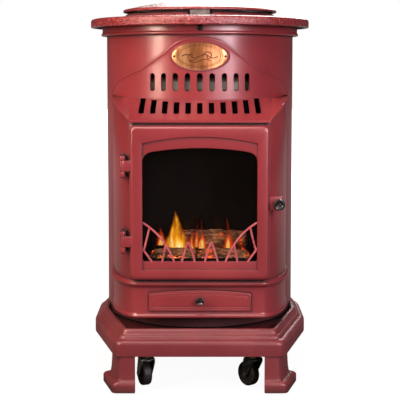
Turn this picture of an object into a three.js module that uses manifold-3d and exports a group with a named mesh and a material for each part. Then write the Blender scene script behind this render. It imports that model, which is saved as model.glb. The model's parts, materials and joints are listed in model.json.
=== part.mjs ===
// A portable gas cabinet heater in the form of a cast-look stove: a round drum that houses a gas
// bottle, a stove front with a glazed door and log fire, and a stepped base on legs and castors.
// Millimetres, +Z up, front towards -Y. The origin lies on the floor under the middle of the base.
import * as THREE from 'three';
import { mergeVertices } from 'three/addons/utils/BufferGeometryUtils.js';
import Module from 'manifold-3d';

const wasm = await Module();
wasm.setup();

// ---- Fits ----
const touchGap = 0.3; // between faces that rest on each other
const slideGap = 0.6; // round a panel that moves in its opening

// ---- Base, legs and castors ----
const footClearance = 5;
const wheelRadius = 25;
const wheelWidth = 20;
const wheelSides = 20;
const axleZ = wheelRadius * Math.cos(Math.PI / wheelSides); // a flat of the tread lies on the floor
const castorTrail = 14;
const castorHeight = 69.7;
const castorX = 107;
const castorY = 212;
const legInnerX = 127;
const legWall = 6;
const bandBottomZ = 76;
const bandHeight = 24;
const mouldingHeight = 26;
const plinthOverhang = 22; // plinth side beyond the drum
const plinthFrontHalfWidth = 166;
const plinthChamferLength = 200;
const plinthFloorSheet = 3.5;
const plinthFrontReach = 61.5; // plinth front beyond the drum
const toeProjection = 6;
const toeHeight = 22;
const legSideReach = 68;
const bearerHalfWidth = 20;
const bearerSheet = 3;

// ---- Drum ----
const drumSides = 40;
const drumRadius = 203;
const drumWall = 2;
const drumSink = 15; // drum foot below the plinth's top edge
const drumOpeningHalfWidth = 150;
const slotWindowHalfWidth = 108; // narrower opening behind the upper slots
const traySheet = 2.7;
const trayLip = 12;

// ---- Rear door ----
const rearDoorHalfAngle = 56; // degrees each side of the rear centre line
const rearDoorLap = 9;
const rearDoorSheet = 2;
const rearDoorLift = 4; // above the plinth
const rearDoorDrop = 40; // below the drum's top
const rearRodRadius = 3;
const rearBarrelRadius = 5.4;
const rearBarrelHalfLength = 20;
const rearBarrelReach = 143; // barrels above and below the door's middle
const louvreWidth = 9;
const louvreLength = 34;
const louvrePitch = 10; // degrees

// ---- Stove front ----
const frontProjection = 59; // flat front plane beyond the drum
const frontHalfWidth = 130;
const cheekInset = 21; // rear edge of the cheeks inside the drum's half width
const castWall = 4;
const casingLift = 19; // casing above the plinth
const casingHeight = 64;
const casingFoot = 8; // moulding along the casing's lower edge
const ledgeHeight = 12;
const surroundHeight = 312;
const hoodHeight = 44;
const hoodOverhang = 6;
const hoodLip = 4;
const skinThickness = 4;
const skinHalfAngle = (65 * Math.PI) / 180;
const skinRise = 123; // peak of the ogee edge above the hood
const skinPeakDrop = 31; // the same peak below the drum's top
const upperSlotWidth = 10;
const upperSlotLift = 15; // above the hood
const upperSlotLength = 36;
const upperSlotPitch = 6.9; // degrees
const hoodSlotWidth = 9.6;
const hoodSlotPitch = 23.3;
const hoodSlotLift = 17; // above the hood's lower edge
const hoodSlotDrop = 9; // below the hood's upper edge
const badgeHalfWidth = 55.5;
const badgeHalfHeight = 27.5;
const badgeDrop = 38; // badge's middle below the peak
const badgeBorder = 4.5;
const badgeSheet = 1.8;
const rivetX = 51;

// ---- Door ----
const doorHalfWidth = 133.7;
const doorThickness = 14;
const doorGapBelow = 1.3;
const doorGapAbove = 12;
const windowHalfWidth = 112.8;
const windowSill = 38; // window's lower edge above the door's
const windowHeight = 223;
const recessDepth = 3;
const glassThickness = 4;
const glassRebate = 5.5;
const fretWidth = 4;
const lugHeight = 21;
const upperLugZ = 226; // lug centres above the door's lower edge
const lowerLugZ = 77;
const hingePinRadius = 2.5;
const knuckleRadius = 6;
const hingeOffset = 17.5; // hinge line outside the door's edge
const catchTabZ = 152; // above the door's lower edge
const catchTabReach = 27.5;
const catchTabHalfHeight = 14;
const doorKnobRadius = 11;
const doorKnobLength = 20;
const magnetHalfHeight = 20;
const magnetWidth = 6;

// ---- Drawer ----
const drawerHalfWidth = 101.5;
const drawerLift = 14; // above the casing's lower edge
const drawerSideHeight = 35.5;
const drawerCrownHeight = 42;
const drawerDepth = 106;
const drawerThickness = 5.5;
const drawerRecess = 3.5; // panel's back behind the casing's front
const panHalfWidth = 92;
const panWall = 1.5;
const panHeight = 27;
const drawerKnobRadius = 8;
const drawerKnobLength = 18;
const drawerKnobLift = 22;

// ---- Top ----
const rimOverhang = 34.5;
const rimThickness = 19;
const ventRingHeight = 13;
const ventRingOuter = 152;
const ventRingWall = 6;
const lidRadius = 167.5;
const lidEdge = 9;
const lidRise = 16.5;
const lidGap = 2;
const lidShell = 4;
const lidLugHalfWidth = 20;
const lidEar = 7.4;
const lidPinRadius = 2.5;
const notchCount = 8;
const notchHalfWidth = 22;
const collarOverhang = 9.5;
const collarHeight = 25;
const screwRadius = 2.1;
const seatWidth = 8; // ledge inside the raised ring, under the control plate

// ---- Controls and gas ----
const controlSheet = 2;
const knobPlace = [48, 62];
const buttonPlace = [-48, 62];
const knobRadius = 20;
const stemRadius = 4;
const buttonRadius = 6;
const buttonTravel = 4;
const buttonLength = 14;
const buttonRise = 6;
const pipeRadius = 4;
const pipeX = knobPlace[0];

// ---- Fire ----
const fireboxHalfWidth = 121;
const fireboxDepth = 107;
const fireboxHeight = 290;
const fireboxLift = 18; // above the door's lower edge
const sheet = 2;
const shieldGap = 6;
const shieldSheet = 1.5;
const burnerHalfWidth = 104;
const burnerHeight = 20;
const emberPocket = 9; // depth of the pocket that holds the embers
const burnerShelf = 16; // shelf behind the pocket
const backLogRadius = 23;
const frontLogRadius = 13;

const heater = new THREE.Group();
const body = new THREE.Group(); // holds what is centred on the drum's axis

// Levels, from the floor up.
const bandTopZ = bandBottomZ + bandHeight;
const plinthTopZ = bandTopZ + mouldingHeight;
const drumBottomZ = plinthTopZ - drumSink;
const casingBottomZ = plinthTopZ + casingLift;
const ledgeBottomZ = casingBottomZ + casingHeight;
const ledgeTopZ = ledgeBottomZ + ledgeHeight;
const hoodBottomZ = ledgeTopZ + surroundHeight;
const hoodTopZ = hoodBottomZ + hoodHeight;
const skinPeakZ = hoodTopZ + skinRise;
const drumTopZ = skinPeakZ + skinPeakDrop;
const doorBottomZ = ledgeTopZ + doorGapBelow;
const doorTopZ = hoodBottomZ - doorGapAbove;
const rimRadius = drumRadius + rimOverhang;
const rimTopZ = drumTopZ + 12;
const rimBottomZ = rimTopZ - rimThickness;
const ventRingTopZ = rimTopZ + ventRingHeight;
const lidBottomZ = ventRingTopZ + lidGap;

// Depths, from the drum's axis.
const frontY = -(drumRadius + frontProjection);
const cheekHalfWidth = drumRadius - cheekInset;
const cheekEndY = -Math.sqrt(drumRadius ** 2 - cheekHalfWidth ** 2) - 7;
const doorBackY = frontY - touchGap;
const doorFrontY = doorBackY - doorThickness;
const plinthHalfWidth = drumRadius + plinthOverhang;
const plinthHalfDepth = drumRadius + plinthFrontReach;
const drumAxisY = plinthHalfDepth + toeProjection - rimRadius;

// ---- Materials ----
const paint = (name, color, roughness, metalness) => {
  const material = new THREE.MeshStandardMaterial({ color, roughness, metalness });
  material.name = name;
  return material;
};
const finishes = {
  enamel: () => paint('enamel', 0x8a3436, 0.42, 0.1),
  castEnamel: () => paint('cast_enamel', 0x963c3c, 0.5, 0.1),
  copper: () => paint('copper', 0xc98f62, 0.3, 1),
  blackPlastic: () => paint('black_plastic', 0x151515, 0.35, 0),
  blackSteel: () => paint('black_steel', 0x1a1918, 0.6, 0.3),
  steel: () => paint('steel', 0x8d9088, 0.4, 1),
  zinc: () => paint('zinc', 0x6d716f, 0.35, 1),
  rubber: () => paint('rubber', 0x121313, 0.7, 0),
  glass: () => paint('glass', 0x2a2522, 0.05, 0),
  ceramic: () => paint('ceramic', 0x6b4a37, 0.9, 0),
  brass: () => paint('brass', 0xb08d4f, 0.35, 1),
};

// ---- Solids ----
function signedVolume(positions, index) {
  const [a, b, c] = [new THREE.Vector3(), new THREE.Vector3(), new THREE.Vector3()];
  let sum = 0;
  for (let i = 0; i < index.length; i += 3) {
    a.fromArray(positions, index[i] * 3);
    b.fromArray(positions, index[i + 1] * 3);
    c.fromArray(positions, index[i + 2] * 3);
    sum += a.dot(b.cross(c));
  }
  return sum;
}

// A closed geometry as a solid, with its faces turned outwards.
function solid(geometry) {
  const bare = geometry.index ? geometry.toNonIndexed() : geometry.clone();
  bare.deleteAttribute('normal');
  bare.deleteAttribute('uv');
  const merged = mergeVertices(bare, 1e-4);
  const vertProperties = new Float32Array(merged.attributes.position.array);
  const triVerts = new Uint32Array(merged.index.array);
  if (signedVolume(vertProperties, triVerts) < 0) {
    for (let i = 0; i < triVerts.length; i += 3) {
      [triVerts[i + 1], triVerts[i + 2]] = [triVerts[i + 2], triVerts[i + 1]];
    }
  }
  return new wasm.Manifold(new wasm.Mesh({ numProp: 3, vertProperties, triVerts }));
}

function join(...pieces) {
  return pieces.reduce((whole, piece) => whole.add(piece));
}

function cut(piece, ...cutters) {
  return cutters.reduce((rest, cutter) => rest.subtract(cutter), piece);
}

function moved(piece, x, y, z) {
  return piece.translate([x, y, z]);
}

function addMesh(group, name, piece, material) {
  const made = piece.getMesh();
  const geometry = new THREE.BufferGeometry();
  geometry.setAttribute('position', new THREE.BufferAttribute(made.vertProperties.slice(), 3));
  geometry.setIndex(new THREE.BufferAttribute(made.triVerts.slice(), 1));
  geometry.computeVertexNormals();
  const mesh = new THREE.Mesh(geometry, material);
  mesh.name = name;
  group.add(mesh);
  return mesh;
}

// A box between two corners.
function block(x0, x1, y0, y1, z0, z1) {
  const box = new THREE.BoxGeometry(x1 - x0, y1 - y0, z1 - z0);
  box.translate((x0 + x1) / 2, (y0 + y1) / 2, (z0 + z1) / 2);
  return solid(box);
}

// A cylinder along x, y or z, from its start face to its end face.
function rod(axis, radius, start, end, sides = 20) {
  const cylinder = new THREE.CylinderGeometry(radius, radius, end - start, sides);
  cylinder.translate(0, (start + end) / 2, 0);
  if (axis === 'x') cylinder.rotateZ(-Math.PI / 2);
  if (axis === 'z') cylinder.rotateX(Math.PI / 2);
  return solid(cylinder);
}

// A closed profile of [radius, height] pairs turned round the z axis.
function turned(profile, segments = 48) {
  const points = profile.map(([radius, height]) => new THREE.Vector2(radius, height));
  points.push(points[0].clone());
  const lathe = new THREE.LatheGeometry(points, segments);
  lathe.rotateX(Math.PI / 2);
  return solid(lathe);
}

// A shape drawn in x and z, carried along y from yBack towards the front.
function upright(shape, yBack, depth, curveSegments = 6) {
  const plate = new THREE.ExtrudeGeometry(shape, { depth, bevelEnabled: false, curveSegments });
  plate.rotateX(Math.PI / 2);
  plate.translate(0, yBack, 0);
  return solid(plate);
}

// A shape drawn in x and y, carried up z.
function flat(shape, z, height) {
  const slab = new THREE.ExtrudeGeometry(shape, { depth: height, bevelEnabled: false, curveSegments: 2 });
  slab.translate(0, 0, z);
  return solid(slab);
}

// Closed sections of equal point counts, skinned one to the next and capped at both ends.
// Where closed is true the last section joins the first instead.
function loft(sections, closed = false) {
  const count = sections[0].length;
  const positions = sections.flatMap((section) => section.flatMap((p) => [p[0], p[1], p[2]]));
  const index = [];
  const spans = closed ? sections.length : sections.length - 1;
  for (let i = 0; i < spans; i++) {
    const near = i * count;
    const far = ((i + 1) % sections.length) * count;
    for (let j = 0; j < count; j++) {
      const k = (j + 1) % count;
      index.push(near + j, near + k, far + k, near + j, far + k, far + j);
    }
  }
  if (!closed) {
    const last = (sections.length - 1) * count;
    for (let j = 1; j < count - 1; j++) {
      index.push(0, j + 1, j);
      index.push(last, last + j, last + j + 1);
    }
  }
  const geometry = new THREE.BufferGeometry();
  geometry.setAttribute('position', new THREE.Float32BufferAttribute(positions, 3));
  geometry.setIndex(index);
  return solid(geometry);
}

// A round tube along a smooth curve through the points.
function tube(points, radius, sides, steps) {
  const path = new THREE.CatmullRomCurve3(points.map((p) => new THREE.Vector3(...p)), false, 'centripetal');
  const section = new THREE.Shape();
  section.absarc(0, 0, radius, 0, 2 * Math.PI);
  const settings = { steps, extrudePath: path, curveSegments: sides };
  return solid(new THREE.ExtrudeGeometry(section, settings));
}

// A rectangle in a drawing plane with rounded corners.
function roundedRect(x0, x1, z0, z1, radius) {
  const shape = new THREE.Shape();
  shape.moveTo(x0 + radius, z0);
  shape.lineTo(x1 - radius, z0);
  shape.absarc(x1 - radius, z0 + radius, radius, -Math.PI / 2, 0);
  shape.lineTo(x1, z1 - radius);
  shape.absarc(x1 - radius, z1 - radius, radius, 0, Math.PI / 2);
  shape.lineTo(x0 + radius, z1);
  shape.absarc(x0 + radius, z1 - radius, radius, Math.PI / 2, Math.PI);
  shape.lineTo(x0, z0 + radius);
  shape.absarc(x0 + radius, z0 + radius, radius, Math.PI, 1.5 * Math.PI);
  return shape;
}

// A rectangle whose top edge is a shallow arch.
function archedRect(halfWidth, z0, sideZ, crownZ) {
  const shape = new THREE.Shape();
  shape.moveTo(-halfWidth, z0);
  shape.lineTo(halfWidth, z0);
  shape.lineTo(halfWidth, sideZ);
  shape.quadraticCurveTo(0, 2 * crownZ - sideZ, -halfWidth, sideZ);
  return shape;
}

function mirroredX(piece) {
  return piece.mirror([1, 0, 0]);
}

function mirroredY(piece) {
  return piece.mirror([0, 1, 0]);
}

function turnedAboutZ(piece, degrees) {
  return piece.rotate([0, 0, degrees]);
}

// ---- Plan of the stove front ----
// The cheek runs from the front corner back to the drum on one smooth curve, t from 0 to 1.
function cheekPoint(t) {
  const start = [frontHalfWidth, frontY];
  const pull = [cheekHalfWidth - 2, frontY + 40];
  const end = [cheekHalfWidth, cheekEndY];
  const at = (i) => (1 - t) ** 2 * start[i] + 2 * t * (1 - t) * pull[i] + t ** 2 * end[i];
  return [at(0), at(1)];
}

// Points of the plan from the left rear edge round to the right, with the way outwards at each.
const cheekSteps = 7;
const planStations = (() => {
  const right = [];
  for (let i = 0; i <= cheekSteps; i++) right.push({ t: i / cheekSteps, at: cheekPoint(i / cheekSteps) });
  const left = right.map(({ t, at }) => ({ t, at: [-at[0], at[1]] })).reverse();
  const all = [...left, ...right];
  const edgeNormal = (p, q) => {
    const length = Math.hypot(q[0] - p[0], q[1] - p[1]);
    return [(q[1] - p[1]) / length, -(q[0] - p[0]) / length];
  };
  return all.map((station, i) => {
    if (i === 0) return { ...station, out: [-1, 0] };
    if (i === all.length - 1) return { ...station, out: [1, 0] };
    const before = edgeNormal(all[i - 1].at, station.at);
    const after = edgeNormal(station.at, all[i + 1].at);
    const share = 1 + before[0] * after[0] + before[1] * after[1];
    return { ...station, out: [(before[0] + after[0]) / share, (before[1] + after[1]) / share] };
  });
})();

const offsetPoint = ({ at, out }, outset) => [at[0] + out[0] * outset, at[1] + out[1] * outset];

// Carries a closed [outset, height] profile round the plan.
function planSweep(profileAt) {
  return loft(
    planStations.map((station) =>
      profileAt(station).map(([outset, z]) => [...offsetPoint(station, outset), z])
    )
  );
}

// Height of the hood's lower edge: level across the front, rising along the cheeks to the drum.
const hoodEdgeZ = (t) => hoodBottomZ + (hoodHeight + 2) * (1 - (1 - t) ** 2);

const insideDrum = () => rod('z', drumRadius + touchGap, 0, drumTopZ + 50, drumSides);

// ---- Drum and its floor ----
function makeDrum() {
  const inner = drumRadius - drumWall;
  const wall = turned(
    [[inner, drumBottomZ], [drumRadius, drumBottomZ], [drumRadius, drumTopZ], [inner, drumTopZ]],
    drumSides
  );
  const fireCut = block(
    -drumOpeningHalfWidth, drumOpeningHalfWidth, -drumRadius - 10, 0, casingBottomZ + casingFoot, hoodTopZ
  );
  const slotCut = block(
    -slotWindowHalfWidth, slotWindowHalfWidth, -drumRadius - 10, 0, hoodTopZ - 5, upperSlotTopZ + 6
  );
  const rearCut = block(
    -rearOpeningHalfWidth, rearOpeningHalfWidth, 0, drumRadius + 10,
    rearDoorBottomZ + rearDoorLap, rearDoorTopZ - rearDoorLap
  );
  const screwHole = rod('y', screwRadius + 0.3, -drumRadius - 5, -drumRadius + 8, 12);
  return cut(wall, fireCut, slotCut, rearCut, moved(screwHole, 0, 0, screwZ));
}

function makeBottleTray() {
  const lipOuter = drumRadius - drumWall - touchGap;
  const lipInner = lipOuter - sheet;
  const top = drumBottomZ - touchGap;
  const bottom = top - traySheet;
  const lipTop = top + trayLip;
  return turned([
    [0, bottom], [drumRadius, bottom], [drumRadius, top], [lipOuter, top],
    [lipOuter, lipTop], [lipInner, lipTop], [lipInner, top], [0, top],
  ], drumSides);
}

// ---- Rear door ----
const rearDoorBottomZ = plinthTopZ + rearDoorLift;
const rearDoorTopZ = drumTopZ - rearDoorDrop;
const rearDoorMidZ = (rearDoorBottomZ + rearDoorTopZ) / 2;
const rearOpeningHalfWidth = drumRadius * Math.sin(((rearDoorHalfAngle - 4) * Math.PI) / 180);
const rearHingeAngle = rearDoorHalfAngle + 1.4;
const rearHingeRadius = drumRadius + rearBarrelRadius + 0.9;

// Point on a circle round the drum's axis, degrees from the rear centre line towards +X.
function rearPoint(radius, degrees) {
  const angle = (degrees * Math.PI) / 180;
  return [radius * Math.sin(angle), radius * Math.cos(angle)];
}

// A capsule-shaped hole carried along y.
function slotCutter(width, z0, z1, yBack, depth) {
  return upright(roundedRect(-width / 2, width / 2, z0, z1, width / 2 - 0.05), yBack, depth, 1.5);
}

function makeRearDoor() {
  const inner = drumRadius + touchGap;
  const outer = inner + rearDoorSheet;
  const shape = new THREE.Shape();
  const steps = 24;
  for (let i = 0; i <= steps; i++) {
    const [x, y] = rearPoint(outer, rearDoorHalfAngle * ((2 * i) / steps - 1));
    if (i === 0) shape.moveTo(x, y);
    else shape.lineTo(x, y);
  }
  for (let i = steps; i >= 0; i--) shape.lineTo(...rearPoint(inner, rearDoorHalfAngle * ((2 * i) / steps - 1)));
  const panel = flat(shape, rearDoorBottomZ, rearDoorTopZ - rearDoorBottomZ);
  const louvres = [];
  for (const z of [rearDoorBottomZ + louvreLength, rearDoorTopZ - 30 - louvreLength]) {
    for (let i = -2; i <= 2; i++) {
      louvres.push(turnedAboutZ(slotCutter(louvreWidth, z, z + louvreLength, outer + 10, 20), i * louvrePitch));
    }
  }
  const [hingeX, hingeY] = rearPoint(rearHingeRadius, rearHingeAngle);
  const barrels = [-1, 1].map((side) => {
    const z = rearDoorMidZ + side * rearBarrelReach;
    const [z0, z1] = [z - rearBarrelHalfLength, z + rearBarrelHalfLength];
    const barrel = moved(rod('z', rearBarrelRadius, z0, z1, 16), hingeX, hingeY, 0);
    const tab = turnedAboutZ(block(-12, 2.5, inner, outer + 3.2, z0, z1), -rearHingeAngle);
    return join(barrel, tab);
  });
  const bore = moved(rod('z', rearRodRadius + 0.3, 0, drumTopZ, 16), hingeX, hingeY, 0);
  return cut(join(panel, ...barrels), ...louvres, bore, insideDrum());
}

// Two pins on one rod, held off the drum by a foot at each end of each barrel.
function makeRearHingeRod() {
  const [hingeX, hingeY] = rearPoint(rearHingeRadius, rearHingeAngle);
  const reach = rearBarrelReach + rearBarrelHalfLength + 14;
  const pin = rod('z', rearRodRadius, rearDoorMidZ - reach, rearDoorMidZ + reach, 16);
  const feet = [-1, 1].map((side) => {
    const z = rearDoorMidZ + side * (reach - 6);
    const arm = block(-2.5, 12, drumRadius - 6, rearHingeRadius + 5, z - 6, z + 6);
    return turnedAboutZ(arm, -rearHingeAngle);
  });
  return cut(join(moved(pin, hingeX, hingeY, 0), ...feet), insideDrum());
}

function makeRearPull() {
  const base = drumRadius + touchGap + rearDoorSheet + touchGap;
  const stem = rod('y', 5, base, base + 12, 16);
  const knob = rod('y', 10, base + 11.9, base + 18, 20);
  return turnedAboutZ(moved(join(stem, knob), 0, 0, rearDoorMidZ), rearDoorHalfAngle - 8);
}

// ---- Top: collar, rim plate, lid, controls ----
const collarRadius = drumRadius + collarOverhang;
const collarBottomZ = drumTopZ - collarHeight;
const screwZ = drumTopZ - collarHeight / 2 + 0.2;
const ventRingInner = ventRingOuter - ventRingWall;
const lidHingeY = lidRadius + 11;
const lidHingeZ = lidBottomZ + 5;
const plateSeatZ = rimTopZ - 5;
const controlPlateRadius = ventRingInner - touchGap - 0.5;
const controlPlateTopZ = plateSeatZ + touchGap + controlSheet;
const plateUndersideZ = drumTopZ + 3.6;

function makeCollar() {
  const inner = drumRadius + touchGap;
  const wallInner = collarRadius - 3;
  const flangeTop = drumTopZ + 3.3;
  const flangeBottom = drumTopZ + touchGap;
  const ring = turned([
    [inner, collarBottomZ], [collarRadius + 1, collarBottomZ], [collarRadius + 2.5, collarBottomZ + 1.5],
    [collarRadius + 2.5, collarBottomZ + 4], [collarRadius, collarBottomZ + 6], [collarRadius, flangeTop],
    [drumRadius - 13, flangeTop], [drumRadius - 13, flangeBottom], [wallInner, flangeBottom],
    [wallInner, collarBottomZ + 3], [inner, collarBottomZ + 3],
  ], drumSides);
  const screwHole = rod('y', screwRadius + 0.3, -collarRadius - 5, -wallInner + 5, 12);
  return cut(ring, moved(screwHole, 0, 0, screwZ));
}

function makeCollarScrew() {
  const seat = -collarRadius - touchGap;
  const head = rod('y', 6, seat - 3, seat, 20);
  const shank = rod('y', screwRadius, seat - 0.1, -drumRadius + 3, 12);
  return moved(join(head, shank), 0, 0, screwZ);
}

function makeTopPlate() {
  const under = plateUndersideZ;
  const profile = [
    [rimRadius - 8, rimBottomZ], [rimRadius - 1, rimBottomZ], [rimRadius, rimBottomZ + 1.5],
    [rimRadius, rimTopZ - 5], [rimRadius - 1.6, rimTopZ - 1.6], [rimRadius - 5, rimTopZ],
    [ventRingOuter, rimTopZ], [ventRingOuter, ventRingTopZ - 2], [ventRingOuter - 2, ventRingTopZ],
    [ventRingInner, ventRingTopZ], [ventRingInner, plateSeatZ], [ventRingInner - seatWidth, plateSeatZ],
    [ventRingInner - seatWidth, under], [rimRadius - 8, under],
  ];
  const plate = turned(profile, drumSides);
  const notches = [];
  for (let i = 0; i < notchCount; i++) {
    const notch = block(-notchHalfWidth, notchHalfWidth, -ventRingOuter - 2, -ventRingInner + 2,
      rimTopZ + 3, ventRingTopZ + 5);
    notches.push(turnedAboutZ(notch, (i * 360) / notchCount));
  }
  const ears = [-1, 1].map((side) => {
    const x = side * (lidLugHalfWidth + 2 * touchGap + lidEar / 2);
    const [x0, x1] = [x - lidEar / 2, x + lidEar / 2];
    const ear = block(x0, x1, lidHingeY - 8, lidHingeY + 8, rimTopZ - 1, lidHingeZ);
    const eye = moved(rod('x', 8, x0, x1, 14), 0, lidHingeY, lidHingeZ);
    return join(ear, eye);
  });
  const pinHole = moved(rod('x', lidPinRadius + 0.3, -60, 60, 16), 0, lidHingeY, lidHingeZ);
  return cut(join(cut(plate, ...notches), ...ears), pinHole);
}

function makeLid() {
  const dome = (share) => lidRise * (1 - share ** 2);
  const edgeTop = lidBottomZ + lidEdge;
  const outer = [0, 0.2, 0.4, 0.6, 0.8, 0.94].map((share) => [share * lidRadius, edgeTop + dome(share)]);
  const inner = [0.92, 0.7, 0.45, 0.2, 0].map((share) => [share * lidRadius, edgeTop + dome(share) - lidShell]);
  const disc = turned([
    ...outer, [lidRadius - 1, edgeTop - 0.5], [lidRadius, edgeTop - 3], [lidRadius - 0.5, lidBottomZ],
    [lidRadius - 9, lidBottomZ], ...inner,
  ], 40);
  const arm = block(-lidLugHalfWidth, lidLugHalfWidth, lidRadius - 10, lidHingeY, lidBottomZ + 0.5, lidHingeZ + 3.5);
  const barrel = moved(rod('x', 5.5, -lidLugHalfWidth, lidLugHalfWidth, 14), 0, lidHingeY, lidHingeZ);
  const pinHole = moved(rod('x', lidPinRadius + 0.3, -60, 60, 16), 0, lidHingeY, lidHingeZ);
  return cut(join(disc, arm, barrel), pinHole);
}

function makeLidPin() {
  const reach = lidLugHalfWidth + 3 * touchGap + lidEar;
  const pin = rod('x', lidPinRadius, -reach - 1, reach + 1, 16);
  const heads = [-1, 1].map((side) => rod('x', 4, side * (reach + 1) - 1, side * (reach + 1) + 1, 16));
  return moved(join(pin, ...heads), 0, lidHingeY, lidHingeZ);
}

// A folded steel strip in the front notch of the raised ring, on which the lid's edge rests.
function makeLidRestTab() {
  const halfWidth = notchHalfWidth - 2;
  const foot = rimTopZ + touchGap;
  const back = -ventRingInner - 1;
  const tongue = block(-halfWidth, halfWidth, back - 17, back - 15, foot, lidBottomZ - touchGap);
  const ledge = block(-halfWidth, halfWidth, back - 17, back - 9, foot, foot + 2);
  return join(tongue, ledge);
}

function makeControlPlate() {
  const disc = rod('z', controlPlateRadius, plateSeatZ + touchGap, controlPlateTopZ, 36);
  const outlets = [];
  for (let row = 0; row < 5; row++) {
    const y = -118 + row * 24;
    const reach = Math.sqrt((controlPlateRadius - 12) ** 2 - y ** 2);
    const shape = roundedRect(-reach, reach, y - 5, y + 5, 4.9);
    outlets.push(flat(shape, plateSeatZ - 5, 20));
  }
  const bridge = block(-5, 5, -controlPlateRadius + 8, 0, plateSeatZ + touchGap, controlPlateTopZ);
  const stemHole = moved(rod('z', stemRadius + 0.6, plateSeatZ - 5, rimTopZ + 5, 20), ...knobPlace, 0);
  const buttonHole = moved(rod('z', buttonRadius + slideGap, plateSeatZ - 5, rimTopZ + 5, 20), ...buttonPlace, 0);
  return cut(join(cut(disc, ...outlets), bridge), stemHole, buttonHole);
}

function makeControlKnob() {
  const foot = controlPlateTopZ + touchGap;
  const [x, y] = knobPlace;
  const skirt = turned([
    [stemRadius + touchGap, foot], [knobRadius, foot], [knobRadius, foot + 3], [knobRadius - 3, foot + 5],
    [knobRadius - 4, foot + 13], [knobRadius - 6, foot + 14.5], [0, foot + 14.5], [0, foot + 9],
    [stemRadius + touchGap, foot + 9],
  ], 20);
  const grip = block(-3.5, 3.5, -knobRadius + 4.5, knobRadius - 4.5, foot + 14, foot + 16);
  return moved(join(skirt, grip), x, y, 0);
}

function makeIgniterButton() {
  const rest = controlPlateTopZ + buttonRise;
  const cap = rod('z', buttonRadius, rest - buttonLength, rest, 24);
  const collarFoot = rod('z', buttonRadius + 1.6, rest - buttonLength, controlPlateTopZ - controlSheet - touchGap, 24);
  return moved(join(cap, collarFoot), ...buttonPlace, 0);
}

// The spark generator's barrel hangs under the control plate and holds the button's foot.
function makeIgniterBarrel() {
  const top = plateSeatZ;
  const outer = buttonRadius + 4.5;
  const bore = buttonRadius + 2.2;
  const boreFloor = controlPlateTopZ + buttonRise - buttonLength - buttonTravel - 1;
  const barrel = turned([
    [0, top - 48], [outer, top - 48], [outer, top], [bore, top], [bore, boreFloor], [0, boreFloor],
  ], 24);
  return moved(barrel, ...buttonPlace, 0);
}

const valveTopZ = plateSeatZ;
const valveOutletZ = valveTopZ - 36;

// Gas valve: body, stem up to the knob, outlet towards the burner and a ribbed hose tail to the rear.
function makeGasValve() {
  const [x, y] = knobPlace;
  const housing = block(x - 18, x + 18, y - 16, y + 16, valveTopZ - 48, valveTopZ - 4);
  const nut = moved(rod('z', 10, valveTopZ - 4.1, valveTopZ, 6), x, y, 0);
  const stem = moved(rod('z', stemRadius, valveTopZ - 1, controlPlateTopZ + 8, 16), x, y, 0);
  const outlet = moved(rod('y', 6.5, y - 26, y - 15, 12), x, 0, valveOutletZ);
  const tail = moved(rod('y', 4.5, y + 15, y + 40, 10), x, 0, valveOutletZ);
  const ribs = [22, 29, 36].map((reach) => moved(rod('y', 5.6, y + reach, y + reach + 2.5, 10), x, 0, valveOutletZ));
  return join(housing, nut, stem, outlet, tail, ...ribs);
}

// ---- Upper fascia: skin with the ogee top edge, and the vent hood ----
const skinOuter = drumRadius + touchGap + skinThickness;
const skinBottomZ = hoodTopZ - 9;
const badgeZ = skinPeakZ - badgeDrop;
const upperSlotBottomZ = hoodTopZ + upperSlotLift;
const upperSlotTopZ = upperSlotBottomZ + upperSlotLength;

// The ogee: how far the top edge lies under its peak, at a distance along the arc from the middle.
const ogee = new THREE.SplineCurve([
  new THREE.Vector2(-20, 0.8), new THREE.Vector2(0, 0), new THREE.Vector2(42, 6.8), new THREE.Vector2(75, 29),
  new THREE.Vector2(120, 57), new THREE.Vector2(177, 75.5), new THREE.Vector2(208, 90),
  new THREE.Vector2(226, 105), new THREE.Vector2(236, 120),
]);
const ogeeTable = ogee.getPoints(160);
const ogeeSpan = ogeeTable.at(-1).x;
const ogeeDrop = ogeeTable.at(-1).y;

function skinTopZ(angle) {
  const distance = (Math.abs(angle) / skinHalfAngle) * ogeeSpan;
  const next = Math.max(1, ogeeTable.findIndex((p) => p.x >= distance - 1e-6));
  const [a, b] = [ogeeTable[next - 1], ogeeTable[next]];
  const drop = a.y + ((b.y - a.y) * (distance - a.x)) / (b.x - a.x);
  return skinPeakZ - drop * ((skinPeakZ - hoodTopZ) / ogeeDrop);
}

// The hood's upper edge where it meets the skin dips a little at the middle.
const hoodRearZ = (share) => hoodTopZ - 4 * (1 - Math.min(1, Math.abs(share) / 0.55) ** 2);

function makeSkin() {
  const steps = 36;
  const sections = [];
  for (let i = 0; i <= steps; i++) {
    const angle = skinHalfAngle * ((2 * i) / steps - 1);
    const top = skinTopZ(angle) + (Math.abs(angle) > skinHalfAngle - 0.01 ? 2 : 0);
    const bottom = skinBottomZ;
    const [inner, outer] = [skinOuter - skinThickness, skinOuter];
    const [sin, cos] = [Math.sin(angle), Math.cos(angle)];
    sections.push([
      [outer * sin, -outer * cos, bottom], [outer * sin, -outer * cos, top],
      [inner * sin, -inner * cos, top], [inner * sin, -inner * cos, bottom],
    ]);
  }
  return loft(sections);
}

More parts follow.
